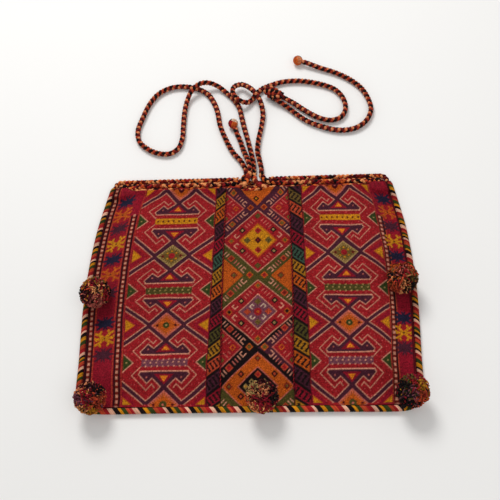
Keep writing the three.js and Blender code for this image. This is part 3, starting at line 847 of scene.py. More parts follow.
def paint_crossing(pattern, v, near, far, triangle):
    for side, edge in zip(SIDES, CENTRE):
        square = CROSSING_MIDDLE + side * SQUARE_ASIDE
        mark_square(pattern, (square, v + 0.6), *near)
        apex = (CROSSING_MIDDLE + side * APEX_ASIDE, v)
        low, high = (edge, v - TRIANGLE_RISE), (edge, v + TRIANGLE_RISE)
        pattern.fill([apex, high, low], triangle)
        pattern.stroke([high, apex, low], "pink" if triangle == "red" else "orange", 1.2)
        inner = (edge - side * 13.2, v)
        if triangle == "red":
            mark_square(pattern, inner, "red", "orange", 2.8)
            for up in SIDES:
                way = (side * 0.7, up * 0.7)
                mark_tick(pattern, (edge - side * 5.4, v + up * 8.6), way, 7, "pink")
                mark_tick(pattern, (edge - side * 9.4, v + up * 5.6), way, 3, "pink")
                pattern.diamond((edge - side * 1.5, v + up * 14), 2.6, 3, "olive")
        else:
            mark_square(pattern, inner, "olive", "brick", 3.4)
        for up in SIDES:
            way = (side * ARM_WAY[0], up * ARM_WAY[1])
            at = lambda d: (square + way[0] * d, v + way[1] * d)
            mark_hook(pattern, at(ARM_MARKS["hook"]), way)
            for d in (*ARM_MARKS["ticks"], *ARM_MARKS["end_ticks"]):
                mark_tick(pattern, at(d), way, colour="cream" if d < 20 or d > 30 else "pink")
            mark_square(pattern, at(ARM_MARKS["square"]), *far)


RING_MARKS = {"ticks": (0.17, 0.26, 0.35, 0.44), "square": 0.58, "hook": 0.79}


def paint_ring(pattern, centre, across, up, vertex, side_vertex):
    """Marks that go round inside a large diamond."""
    u, v = centre
    for side in SIDES:
        mark_square(pattern, (u + side * across, v), *side_vertex, 3)
        mark_square(pattern, (u, v + side * up), *vertex, 3)
        for rise in SIDES:
            way = (side * 0.7, -rise * 0.7)
            at = lambda share: (u + side * across * share, v + rise * up * (1 - share))
            for share in RING_MARKS["ticks"]:
                mark_tick(pattern, at(share), way, 4.2, "pink")
            pattern.diamond(at(RING_MARKS["square"]), 4.2, 4.2, "black")
            pattern.diamond(at(RING_MARKS["square"]), 1.9, 1.9, "sand")
            mark_hook(pattern, at(RING_MARKS["hook"]), way, 2.4)


# The centre's three large diamonds, from the mouth down: the height of their middle, the outer diamond, the marks
# that go round in it, and the inner diamond
CENTRE_MIDDLE = 1.6
DIAMONDS = [
    (191.3, (45, 41.8, "red", "cream"), (33, 33.4, ("olive", "green"), ("olive", "orange")),
     (22.6, 22.4, "yellow", "orange", 1.8)),
    (101.2, (45, 38.5, "red", "cream"), (33, 31.6, ("olive", "orange"), ("black", "orange")),
     (21.6, 21, "mauve", "cream")),
    (19.2, (40, 35, "orange", "pink"), None, (22, 19, "black", "pink")),
]
CENTRE_BANDS = [PATTERN_HIGH, 190, 101, 19, PATTERN_LOW]
TOP_TRIANGLE = [(-26.5, 270), (0.6, 240.5), (27.5, 270)]
TOP_SPOT = (-0.6, 250)
SIDE_TRIANGLE = [(CENTRE_MIDDLE, 59.75), (60, 101), (60, 19)]
# Small marks in each of the large diamonds, from its middle
TOP_MARKS = [((0, 0), "maroon"), ((0, 13), "red"), ((0, -13), "red"), ((13.3, 0), "olive"), ((-13.3, 0), "olive")]
MIDDLE_MARKS = [((0, 12.2), "olive"), ((0, -12.2), "olive"), ((12, 0), "coral"), ((-12, 0), "coral")]
MIDDLE_HOOK = 6.4
LOW_MARKS = [(0, 28.6), (-18.6, 11.8), (18.6, 11.8), (-18.6, -9.5), (18.6, -9.5), (-32, 0), (32, 0)]


def mark_top(pattern, middle, v):
    for (u, w), colour in TOP_MARKS:
        pattern.diamond((middle + u, v + w), 4.7, 4.7, colour)
        pattern.dot((middle + u, v + w), "brick" if colour != "olive" else "green", 1.3)


def mark_middle(pattern, middle, v):
    pattern.dot((middle, v), "red", 4.6)
    pattern.dot((middle, v), "orange", 1.6)
    for (u, w), colour in MIDDLE_MARKS:
        pattern.diamond((middle + u, v + w), 4.2, 4, colour)
    for side, rise in itertools.product(SIDES, SIDES):
        hook = (middle + side * MIDDLE_HOOK, v + rise * MIDDLE_HOOK)
        mark_hook(pattern, hook, (side * 0.7, rise * 0.7), 2, "white")


def mark_low(pattern, middle, v):
    for u, w in LOW_MARKS:
        outer, inner = ("black", "coral") if abs(u) < 30 and u else ("brick", "olive")
        pattern.diamond((middle + u, v + w), 4, 3.9, outer)
        pattern.diamond((middle + u, v + w), 1.8, 1.8, inner)
    mark_square(pattern, (middle, v + 11.4), "red", "coral", 2.7)
    for side in SIDES:
        mark_square(pattern, (middle + side * 7, v + 4.4), "black", "sand", 2)
        mark_square(pattern, (middle + side * 13.5, v), "yellow", "sand", 2)


def paint_centre(pattern):
    pattern.clip = CENTRE
    for (_, band, *_), high, low in zip(CROSSINGS, CENTRE_BANDS, CENTRE_BANDS[1:]):
        pattern.panel(*CENTRE, band, low, high)
    pattern.fill(SIDE_TRIANGLE, "purple")
    for v, _, *marks in CROSSINGS:
        paint_crossing(pattern, v, *marks)
    pattern.fill(TOP_TRIANGLE, "orange")
    pattern.stroke(TOP_TRIANGLE, "orange", 1.1)
    pattern.diamond(TOP_SPOT, 4.2, 4.4, "black")
    pattern.diamond(TOP_SPOT, 1.6, 1.8, "yellow")
    for (v, outer, ring, inner), add_marks in zip(DIAMONDS, (mark_top, mark_middle, mark_low)):
        centre = (CENTRE_MIDDLE, v)
        pattern.diamond(centre, *outer)
        if ring:
            paint_ring(pattern, centre, *ring)
        pattern.diamond(centre, *inner)
        add_marks(pattern, *centre)


# Middles and wools of the stars in the borders, from the mouth down. The bright ones have a bright ground.
STARS = {
    "left": [
        (254, "navy"), (235.5, "orange"), (215.5, "purple"), (193.75, "yellow"), (173, "navy"), (153, "orange"),
        (129, "purple"), (92.3, "navy"), (74.75, "yellow"), (55.5, "purple"),
    ],
    "right": [
        (251.75, "navy"), (233, "orange"), (213, "purple"), (191.75, "yellow"), (171.25, "navy"),
        (151.75, "orange"), (94.25, "navy"), (76.75, "yellow"), (59.25, "purple"),
    ],
}
BRIGHT_STARS = ("orange", "yellow")
STAR_GROUND = 10.2
STAR_HALVES = {"left": 10.4, "right": 8.6}
# The outline of a dark star, and the bars of each kind of star: a start, an end and a width
DARK_STAR = [(-8.6, 0), (-5, 4.9), (0, 3.6), (5, 4.9), (8.6, 0), (5, -4.9), (0, -3.6), (-5, -4.9)]
DARK_BARS = [((3, 2), (7.8, 5.6), 2.6), ((0, 2), (1.6, 7), 1.8)]
BRIGHT_BARS = [((0, 0), (5.6, 4.9), 1), ((5.6, 4.9), (9.2, 6.6), 0.8), ((5.6, 4.9), (3.9, 8.4), 0.8)]


def paint_star(pattern, u, v, colour, width):
    """Four slanted arms with forked ends and a bar across. The dark ones are low, and run together."""
    def at(side, rise, place):
        return (u + side * place[0] * width, v + rise * place[1])

    bright = colour in BRIGHT_STARS
    arm = 3.2 * width - 0.4 if bright else 1
    if not bright:
        pattern.fill([at(1, 1, place) for place in DARK_STAR], colour, 0.2)
    for side in SIDES:
        for rise in SIDES:
            for start, end, wide in BRIGHT_BARS if bright else DARK_BARS:
                pattern.stroke([at(side, rise, start), at(side, rise, end)], colour, wide * arm, 0.2)
        if bright:
            pattern.stroke([(u, v), at(side, 1, (8.6, 0))], colour, 0.9 * arm, 0.2)
            pattern.stroke([at(side, 1, (8.4, -1.4)), at(side, 1, (9.8, 1.6))], colour, 2, 0.2)
        else:
            pattern.stroke([(u, v), at(side, 1, (10, 0))], colour, 2.4, 0.2)
    if bright:
        pattern.diamond((u, v), 1.4, 1.4, "maroon")


BEAD_PITCH = 5.9


def paint_beads(pattern, u, high=PATTERN_HIGH):
    """A narrow dark stripe with pale squares in it."""
    pattern.panel(u - 3.4, u + 3.4, "maroon", high=high)
    pattern.panel(u - 1.7, u + 1.7, "brick", high=high)
    for side in SIDES:
        pattern.line(u + side * 3, "black", 1.5, high, 0)
    for v in np.arange(PATTERN_LOW + 2, high, BEAD_PITCH):
        pattern.panel(u - 1.3, u + 1.3, "cream", v, v + 3)


# Where the borders' stripes run, from the outer edge inwards
BORDER_STRIPES = {
    "left": {"edge_beads": -187.9, "line": -183, "stars": -171.2, "inner_line": -159.2, "beads": -154, "end": -148.4},
    "right": {"end": 146.6, "beads": 150.2, "inner_line": 154.6, "stars": 161.6, "line": 171.2},
}
BEADS_TOP = {"left": 229, "right": 227}


def paint_border(pattern, side):
    left, right = pattern.clip = BORDERS[side]
    at, half, top = BORDER_STRIPES[side], STAR_HALVES[side], BEADS_TOP[side]
    pattern.panel(left, right, "crimson")
    for v, colour in STARS[side]:
        if colour in BRIGHT_STARS:
            pattern.panel(at["stars"] - half, at["stars"] + half, "red", v - STAR_GROUND, v + STAR_GROUND)
    pattern.line(at["inner_line"], "coral", 0.9, top)
    paint_beads(pattern, at["beads"], top)
    pattern.line(at["end"], "coral", 1.3)
    if side == "left":
        pattern.panel(left, at["edge_beads"], "maroon")
        paint_beads(pattern, at["edge_beads"])
        pattern.line(at["line"], "coral", 1.0)
    for v, colour in STARS[side]:
        paint_star(pattern, at["stars"], v, colour, half / 9)
    if side == "right":
        pattern.line(at["line"], "maroon", 1.8)


def draw_pattern():
    pattern = Pattern()
    for side in ("left", "right"):
        paint_field(pattern, side)
        paint_border(pattern, side)
    paint_centre(pattern)
    for side in ("left", "right"):
        paint_diagonals(pattern, side)
    return pattern


# How the pattern lies on the cloth: its scale lessens a little from the fold to the rim, and it isn't in the middle
PATTERN_SCALE = 1.06
PATTERN_EASE = 0.125
PATTERN_SHIFT = 10.7
BORDER_WIDTHS = (44, 25.5)


def pattern_place(x, y):
    """Pattern coordinates of a grid of points on the cloth, one row at a time."""
    ease = PATTERN_EASE / BAG_HEIGHT
    u, v = np.empty_like(x), np.empty_like(y)
    for row in range(len(x)):
        height = min(y[row, 0], FRONT_HEIGHT)
        scale = PATTERN_SCALE - ease * height
        half = float(outline_half(height))
        seams = [share * half for share in SEAM_SHARES]
        inner = [PATTERN_SHIFT + edge * scale for edge in (PARTS[2], PARTS[5])]
        across = [-half, BORDER_WIDTHS[0] - half, inner[0], *seams, inner[1], half - BORDER_WIDTHS[1], half]
        u[row] = np.interp(x[row] * half / outline_half(y[row]), across, PARTS)
        v[row] = -np.log(1 - ease * y[row] / PATTERN_SCALE) / ease
    return u, v


# Cloth

def cloth_sheet(name, slot, heights, left_edge, right_edge, under, over, paint, columns, coarse=8, lay=None):
    """A closed sheet of cloth between two edges and two surfaces: fine above, coarse below, with plain walls.

    lay, if given, moves the points of the rows along."""
    y = np.asarray(heights, float)
    share = np.linspace(0, 1, columns + 1)
    x = left_edge(y)[:, None] + (right_edge(y) - left_edge(y))[:, None] * share
    grid_y = np.repeat(y[:, None], columns + 1, axis=1)
    if lay:
        x, grid_y = lay(x, grid_y)
    colours, lift = paint(x, grid_y)
    top = np.stack([x, grid_y, over(x, grid_y) + lift], axis=-1)
    rows, cols = x.shape
    number = np.arange(rows * cols).reshape(rows, cols)
    i = np.unique(np.append(np.arange(0, rows, coarse), rows - 1))
    j = np.unique(np.append(np.arange(0, cols, coarse), [1, cols - 2, cols - 1]))
    low_x, low_y = x[np.ix_(i, j)], grid_y[np.ix_(i, j)]
    bottom = np.stack([low_x, low_y, under(low_x, low_y)], axis=-1)
    low = rows * cols + np.arange(len(i) * len(j)).reshape(len(i), len(j))
    faces = [*quads_of(number).tolist(), *quads_of(low)[:, TURNED].tolist()]
    for k in range(len(i) - 1):
        span = slice(i[k], i[k + 1] + 1)
        faces.append([low[k, 0], low[k + 1, 0], *number[span, 0][::-1]])
        faces.append([low[k + 1, -1], low[k, -1], *number[span, -1]])
    for k in range(len(j) - 1):
        span = slice(j[k], j[k + 1] + 1)
        faces.append([low[0, k + 1], low[0, k], *number[0, span]])
        faces.append([low[-1, k], low[-1, k + 1], *number[-1, span][::-1]])
    faces = [[int(v) for v in face] for face in faces]
    points = np.concatenate([top.reshape(-1, 3), bottom.reshape(-1, 3)])
    under_colours = colours[np.ix_(i, j)] if coarse == 1 else np.tile(linear("maroon"), (low_x.size, 1))
    colours = np.concatenate([colours.reshape(-1, 3), under_colours.reshape(-1, 3)])
    return make_object(name, points, faces, slot, colours, points * MM, "cloth")


def seam_x(side, y):
    return SEAM_SHARES[side] * outline_half(y)


def front_over(x, y):
    return front_under(x, y) + CLOTH_THICKNESS


# The hem turns up over the lower half of the drawcord, but not where the cords come out. At the corners it
# covers the drawcord's turn.
HEM_REACH = 3.7
HEM_CLEAR = 0.45
HEM_EASE = 3.6
HEM_MIDDLE = (9, 20)
HEM_ENDS = (12, 32)
FLAP_REACH = 14.4
FLAP_EDGE = 0.3
HEM_ROWS = 14
FLAP_CREST = (BACK_RUN_Y + FRONT_RUN_Y) / 2


def hem_lay(x, y):
    """Moves the rows beyond the front's height to where the hem lies."""
    share = np.clip((y - FRONT_HEIGHT) / HEM_REACH, 0, 1)
    middle = smoothstep(np.abs(x - EXIT_MIDDLE), *HEM_MIDDLE)
    ends = 1 - smoothstep(outline_half(FRONT_HEIGHT) - np.abs(x), *HEM_ENDS)
    laid = np.minimum(y, FRONT_HEIGHT) + share * middle * (HEM_REACH + (FLAP_REACH - HEM_REACH) * ends)
    return x * outline_half(laid) / outline_half(y), laid


def hem_over(x, y):
    """The front's upper side, which lies on the drawcord where it passes over it."""
    flat = front_over(x, np.minimum(y, FRONT_HEIGHT))
    aside = np.where(y < FRONT_RUN_Y, FRONT_RUN_Y - y, np.maximum(y - FLAP_CREST, 0))
    rise = CORD_RADIUS**2 - aside**2
    middle = front_rim_z(x, CORD_RADIUS) + HEM_CLEAR
    on_cord = np.where(rise > 0, middle + np.sqrt(np.clip(rise, 0, None)), flat)
    slope = flat + (middle + CORD_RADIUS - flat) * smoothstep(y, FRONT_HEIGHT - HEM_EASE, FRONT_RUN_Y)
    return np.maximum(np.maximum(flat, on_cord), np.where(y < FRONT_RUN_Y, slope, flat))


def hem_under(x, y):
    """The front's lower side, which reaches down beside the drawcord at the cloth's edge only."""
    past = np.clip((y - FRONT_HEIGHT) / HEM_CLEAR, 0, 1)
    past = past * np.clip((outline_half(y) - np.abs(x)) / FLAP_EDGE, 0, 1)
    low = front_under(x, np.minimum(y, FRONT_HEIGHT))
    return low + (hem_over(x, y) - HEM_CLEAR - low) * past


PATTERN = draw_pattern()
CLOTH_NOISE = np.random.default_rng(11)


def soft_noise(x, y, size, seed):
    """A smooth uneven surface between -1 and 1, from crossing waves of about a given size."""
    waves = np.random.default_rng(seed)
    total = np.zeros(x.shape)
    for _ in range(7):
        angle, phase = waves.uniform(0, math.tau, 2)
        length = size * waves.uniform(0.7, 1.6)
        total += np.sin((x * math.cos(angle) + y * math.sin(angle)) * math.tau / length + phase)
    return total / 4


def uneven(x, y, waves):
    return sum(strength * soft_noise(x, y, size, seed) for strength, size, seed in waves)


# Waves that move the pattern across and along, shade the wool and lift the cloth: strength, size and seed
WANDER = [(0.5, 70, 3), (0.25, 24, 4)]
DRIFT = [(0.5, 80, 5), (0.25, 26, 6)]
SHADES = [(0.07, 90, 8)]
SWELLS = [(0.55, 105, 9), (0.2, 34, 10)]
BACK_WANDER = [(0.6, 60, 12)]
BACK_SHADES = [(0.1, 30, 13)]
# How much single rows and single threads differ in shade
ROW_SHADE = 0.05
THREAD_SHADE = 0.23
# The small folds below the rim: how high, how far apart, and where they start, are full, fade and end
GATHER_RISE = 0.5
GATHER_PITCH = 17
GATHER_BAND = (34, 12, 8, 0)
SWELL_END = 6
SEAM_DIP = 0.25


def front_paint(x, y):
    """Colours of the front cloth's points, and how far the wool, swells and folds lift them."""
    below_rim = FRONT_HEIGHT - y
    u, v = pattern_place(x, y)
    colours, lift = PATTERN.sample(u + uneven(x, y, WANDER), v + uneven(x, y, DRIFT))
    rows = CLOTH_NOISE.normal(scale=ROW_SHADE, size=(len(x), 1))
    threads = CLOTH_NOISE.normal(scale=THREAD_SHADE, size=x.shape)
    shade = 1 + rows + threads + uneven(x, y, SHADES)
    colours = colours * np.clip(shade, 0.4, 1.6)[..., None]
    swell = uneven(x, y, SWELLS) * smoothstep(below_rim, 0, SWELL_END)
    start, full, fade, end = GATHER_BAND
    near_rim = (1 - smoothstep(below_rim, full, start)) * smoothstep(below_rim, end, fade)
    gathers = near_rim * GATHER_RISE * np.sin(x * math.tau / GATHER_PITCH + 1.4 * np.sin(x / 31))
    seams = np.minimum(np.abs(x - seam_x(0, y)), np.abs(x - seam_x(1, y)))
    settled = rise_share(x, y) * smoothstep(seams, 1, 9)
    return colours, lift + (swell + gathers) * settled - SEAM_DIP * (1 - smoothstep(seams, 0, 3))


# The plain back's stripes: how wide each is, and its wool
BACK_STRIPES = [
    (26, "maroon"), (3, "black"), (9, "brick"), (3, "black"), (26, "maroon"), (2, "olive"), (5, "purple"), (2, "olive"),
]


def back_paint(x, y):
    """Plain stripes from the fold to the rim."""
    ends = np.cumsum([width for width, _ in BACK_STRIPES])
    wools = np.array([linear(colour) for _, colour in BACK_STRIPES])
    place = np.mod(x + uneven(x, y, BACK_WANDER) + ends[-1] / 2, ends[-1])
    colours = wools[np.searchsorted(ends, place, side="right") % len(wools)]
    return colours * (1 + uneven(x, y, BACK_SHADES))[..., None], np.zeros(x.shape)


CLOTH_STEP = 0.75
FRONT_TUCK = 0.45
BACK_TUCK = 1.1


def add_front_cloth():
    heights = np.linspace(-FRONT_TUCK, FRONT_HEIGHT, int(FRONT_HEIGHT / CLOTH_STEP))
    hem = FRONT_HEIGHT + np.linspace(0, HEM_REACH, HEM_ROWS)[1:]
    heights = np.concatenate([heights, hem])
    edge = lambda y: cloth_half(y) + FRONT_TUCK
    strips = {
        "left": ("kilim_cloth", lambda y: -edge(y), lambda y: seam_x(0, y) - SEAT_GAP / 2),
        "centre": ("kilim_centre", lambda y: seam_x(0, y) + SEAT_GAP / 2, lambda y: seam_x(1, y) - SEAT_GAP / 2),
        "right": ("kilim_cloth", lambda y: seam_x(1, y) + SEAT_GAP / 2, edge),
    }
    for side, (slot, left_edge, right_edge) in strips.items():
        width = float(right_edge(np.array([120.0]))[0] - left_edge(np.array([120.0]))[0])
        columns = int(width / CLOTH_STEP)
        edges = left_edge, right_edge, hem_under, hem_over
        strip = cloth_sheet(f"kilim_{side}", slot, heights, *edges, front_paint, columns, lay=hem_lay)
        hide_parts(f"front_strip_{side}")
        row_point(0, 0, EDGE_BEND[0])
        row_point(0, 0, EDGE_BEND[1])
        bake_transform(strip)


SEAM_STRAND = 0.49 * SEAM_RADIUS
SEAM_STEP = 0.7
SEAM_SHADE = 0.08
SEAM_SHADE_LENGTH = 17
SEAM_TURN = 4.4


def add_seams():
    """Two yarns wound round each other over the edges of two strips."""
    y = np.arange(BOTTOM_CORNER, FRONT_HEIGHT, SEAM_STEP)
    for side, name in enumerate(("left", "right")):
        x = seam_x(side, y)
        path = np.stack([x, y, front_over(x, y) + 2 * SEAT_GAP + SEAM_RADIUS], axis=1)
        across, up, along = frames_along(path)
        skein = Skein()
        for number, colour in enumerate(("maroon", "red")):
            outward = around(up, across, along * math.tau / SEAM_TURN - number * math.pi)
            shade = linear(colour) * (1 + SEAM_SHADE * np.sin(along / SEAM_SHADE_LENGTH + number))[:, None]
            skein.tube(path + outward * (SEAM_RADIUS - SEAM_STRAND), outward, SEAM_STRAND, SEAM_STRAND, shade, 5)
        dress(skein.finish(f"seam_{name}", "seam_thread"), "front", f"front_seam_{name}")


BACK_STEP = 1.5


def add_back_cloth():
    corner = np.linspace(0, 1, 7)
    top_start = BACK_HEIGHT - FILLED_CORNER
    low = BOTTOM_CORNER * (1 - np.cos(corner[:-1] * math.pi / 2))
    middle = np.linspace(BOTTOM_CORNER, top_start, int((top_start - BOTTOM_CORNER) / BACK_STEP))
    high = top_start + FILLED_CORNER * np.sin(corner[1:] * math.pi / 2)
    heights = np.concatenate([low, middle, high])
    edge = lambda y: cloth_half(y) - corner_inset(BACK_HEIGHT - y, FILLED_CORNER) + BACK_TUCK
    edges = lambda y: -edge(y), edge, lambda x, y: x * 0, lambda x, y: x * 0 + CLOTH_THICKNESS
    columns = int(BAG_WIDTH / BACK_STEP)
    cloth = cloth_sheet("back_cloth_weave", "back_cloth", heights, *edges, back_paint, columns, coarse=1)
    dress(cloth, "back", "back_cloth")


# Edge cord

def edge_points():
    """The right half of the edge cord's route, from the middle of the fold up to the rim."""
    offset = EDGE_GAP + EDGE_RADIUS
    corner_x = outline_half(BOTTOM_CORNER) - BOTTOM_CORNER
    points = [(0, -offset), (corner_x / 2, -offset)]
    for share in np.linspace(0, 1, 5):
        angle = share * math.pi / 2
        reach = BOTTOM_CORNER + offset
        points.append((corner_x + reach * math.sin(angle), BOTTOM_CORNER - reach * math.cos(angle)))
    for share in np.linspace(0, 1, 9)[1:]:
        y = BOTTOM_CORNER + (BACK_BRAID_Y - BOTTOM_CORNER) * share
        points.append((outline_half(y) + offset, y))
    return [(float(x), float(y), EDGE_RADIUS) for x, y in points]


# Stitches that wrap the edge: their wools in order, how many of each, how far apart and how slanted
EDGE_COLOURS = ("black", "yellow", "leaf", "coral", "red", "shell")
EDGE_GROUP = 4
SIDE_GROUP = 3
# The stitches up the sides get painted shade, which takes back the groups' painted light there, so only those along the
# bottom look brighter lit
SIDE_PAINTED_SHADE = 0.82
EDGE_PITCH = 1.19
EDGE_SLANT = 5
EDGE_THREAD = 0.64
# How much groups differ in shade, all lighter than their wool by painted light, and single stitches in shade, thickness
# and place
GROUP_SHADES = (1, 1.3)
STITCH_SHADES = (0.82, 1.18)
STITCH_WIDTHS = (0.9, 1.08)
STITCH_STRAY = 0.06
EDGE_JOIN = 164.6


def whipped_edge(name, path, slant):
    """A cord wrapped in slanted loops of yarn, which change their wool every few loops."""
    across, up, along = frames_along(path)
    skein = Skein()
    reach = EDGE_RADIUS - EDGE_THREAD
    core = reach - 0.3 * EDGE_THREAD
    skein.tube(path, up, core, core, linear("maroon"), 10)
    turn = np.linspace(-math.pi / 2, 1.5 * math.pi, 17)
    left = group = 0
    for s in np.arange(EDGE_THREAD, along[-1] - EDGE_THREAD, EDGE_PITCH):
        if left == 0:
            group += 1
            on_side = np.interp(s, along, path[:, 1]) > BOTTOM_CORNER
            left = (SIDE_GROUP if on_side else EDGE_GROUP) + int(rng.integers(-1, 2))
            colour = linear(EDGE_COLOURS[group % len(EDGE_COLOURS)]) * rng.uniform(*GROUP_SHADES)
            # Painted shade on the sides' stitches
            colour = colour * (SIDE_PAINTED_SHADE if on_side else 1)
        left -= 1
        at = np.clip(s + slant / 2 * np.cos(turn) + rng.normal(scale=STITCH_STRAY), 0, along[-1])
        centre, side, top = (spread_along(at, along, v) for v in (path, across, up))
        outward = around(side, top, turn)
        thick = EDGE_THREAD * rng.uniform(*STITCH_WIDTHS)
        skein.tube(centre + outward * reach, outward, thick, EDGE_THREAD, colour * rng.uniform(*STITCH_SHADES), 5)
    return skein.finish(name, "edge_cord")


def add_edge_cord():
    """Two lengths of cord, whose stitches slant opposite ways and meet under the right corner's pompom."""
    right = edge_points()
    left = [(-x, y, z) for x, y, z in right[:0:-1]]
    path = smooth_route(left + right, 0.8)
    path = path[path[:, 1] < BACK_BRAID_Y - CORNER_WRAP + 2]
    join = int(np.argmin(np.hypot(path[:, 0] - EDGE_JOIN, path[:, 1] + EDGE_GAP + EDGE_RADIUS)))
    for name, part, slant in (("left", path[: join + 1], EDGE_SLANT), ("right", path[join:], -EDGE_SLANT)):
        dress(whipped_edge(f"edge_rope_{name}", part, slant), "back", "edge_cord")


# Rim braids and the drawcord in the rim

RIM_SIDES = (("left", -1), ("right", 1))
RIM_COLOURS = ("tangerine", "maroon", "peach", "brick")
RIM_MIX = ("tangerine", "coral", "peach", "peach", "maroon", "brick", "red", "brick", "black")
RIM_TURN = 10.5
RIM_SPREAD = 0.25
RUN_COLOURS = ("black", "peach", "maroon", "tangerine")
RUN_TURN = 13
RUN_SPLIT = 90
CORNER_WRAP = 11
WRAP_RADIUS = 8
MOUTH_TUCK = 9


def braid_end(sign):
    return EXITS["loop_start"][0] - BRAID_MOUTH_GAP if sign < 0 else EXITS["tie"][0] + BRAID_MOUTH_GAP


def rim_braid(name, path, diameter):
    return braid(name, "rim_braid", path, diameter, RIM_TURN, RIM_COLOURS, spread=RIM_SPREAD, mix=RIM_MIX)


def add_rim_braids():
    for side, sign in RIM_SIDES:
        back_x = sign * float(outline_half(BACK_BRAID_Y) - EDGE_GAP)
        front_x = sign * float(outline_half(FRONT_BRAID_Y) - 1.5 * CORD_DIAMETER)
        for body, outer, y in (("back", back_x, BACK_BRAID_Y), ("front", front_x, FRONT_BRAID_Y)):
            inner = braid_end(sign) - (sign * MOUTH_TUCK if body == "back" else 0)
            x = np.linspace(outer, inner, 260)
            rise = front_rim_z(x, BRAID_RADIUS) if body == "front" else x * 0 + BRAID_REST_Z
            path = np.stack([x, x * 0 + y, rise], axis=1)
            if body == "back":
                path = np.concatenate([corner_wrap(sign), path[8:]])
            name = f"{body}_braid_{side}"
            route = smooth_route(path[::6])
            rim = rim_braid(name, route, BRAID_DIAMETER)
            dress(rim, body, f"{body}_rim_braid_{side}")


def corner_wrap(sign):
    """The back braid's turn over the bag's corner, down onto the edge cord."""
    side_x = float(outline_half(BACK_BRAID_Y)) + EDGE_GAP + EDGE_RADIUS - 0.4
    points = [(side_x + 0.5, BACK_BRAID_Y - CORNER_WRAP), (side_x + 0.3, BACK_BRAID_Y - CORNER_WRAP + 1)]
    for turn in np.linspace(0, math.pi / 2, 14):
        inset, drop = WRAP_RADIUS * (1 - math.cos(turn)), WRAP_RADIUS * (1 - math.sin(turn))
        points.append((side_x - inset, BACK_BRAID_Y - drop))
    path = np.array([(x, y, BRAID_REST_Z) for x, y in points])
    return path * (sign, 1, 1)


# Short rows of braid across the middle of the mouth, behind the cords: distances along, heights and diameters
MOUTH_ROWS = {
    "front": [(FRONT_HEIGHT + 3.3, MOUTH_RUN_Z - 1.2, 5.8), (FRONT_HEIGHT + 8.6, MOUTH_RUN_Z - 4.4, 5.8)],
    "back": [(BACK_HEIGHT + 2, 1.9, 3.4), (BACK_HEIGHT + 5.2, 1.9, 3.4), (BACK_HEIGHT + 8.4, 1.9, 3.4)],
}
MOUTH_ROW_REACH = 17
MOUTH_ROW_SAGS = {"front": 2.4, "back": 0}


def add_mouth_rows():
    for body, rows in MOUTH_ROWS.items():
        for number, (y, z, thickness) in enumerate(rows):
            x = np.linspace(EXIT_MIDDLE - MOUTH_ROW_REACH, EXIT_MIDDLE + MOUTH_ROW_REACH, 60)
            sag = ((x - EXIT_MIDDLE) / MOUTH_ROW_REACH) ** 2
            path = np.stack([x, x * 0 + y, z - sag * MOUTH_ROW_SAGS[body]], axis=1)
            name = f"mouth_row_{body}_{number}"
            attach(rim_braid(name, path, thickness), body)


BEND_SHARES = [(1, 0), (0.42, 0.05), (0.16, 0.32), (0.06, 0.62), (0, 0.86), (0, 1)]
BEND_LEVEL_SHARE = 0.84
TURN_END_INSET = 2 * CORD_DIAMETER
TURN_LEAD_INSET = 1.5 * CORD_DIAMETER


def turn_points(sign):
    """A back run's turn at the corner of the mouth, from the front rim to the back rim."""
    def at(inset, y, z):
        return (sign * float(outline_half(y) - inset), y, z)

    seat = CLOTH_SEAT_Z + CORD_RADIUS
    end_x = sign * float(outline_half(FRONT_RUN_Y) - TURN_END_INSET)
    lead_x = sign * float(outline_half(FRONT_RUN_Y) - TURN_LEAD_INSET)
    return [
        (end_x, FRONT_RUN_Y, float(front_rim_z(end_x, CORD_RADIUS))),
        (lead_x, FRONT_RUN_Y, float(front_rim_z(lead_x, CORD_RADIUS))),
        at(CORD_DIAMETER + SEAT_GAP, FRONT_RUN_Y + SEAT_GAP, seat + SEAT_GAP),
        at(CORD_RADIUS + SEAT_GAP, (BACK_RUN_Y + FRONT_RUN_Y) / 2, seat),
        at(CORD_DIAMETER, BACK_RUN_Y - SEAT_GAP, CORD_REST_Z + SEAT_GAP),
        at(TURN_END_INSET + CORD_RADIUS, BACK_RUN_Y, CORD_REST_Z),
    ]


def bend_points(sign, y, z, exit_name):
    """A run's bend out of the mouth."""
    exit_x, exit_y, exit_z = EXITS[exit_name]
    points = []
    for aside, onward in BEND_SHARES:
        rise = float(smoothstep(onward, 0, BEND_LEVEL_SHARE))
        place = y + (exit_y - SEAT_GAP - y) * onward
        points.append((exit_x + sign * aside * BRAID_MOUTH_GAP * 2, place, z + (exit_z - z) * rise))
    return points


def straight_points(from_x, to_x, y, height_at):
    return [(float(x), y, float(height_at(x))) for x in np.linspace(from_x, to_x, 9)[1:-1]]


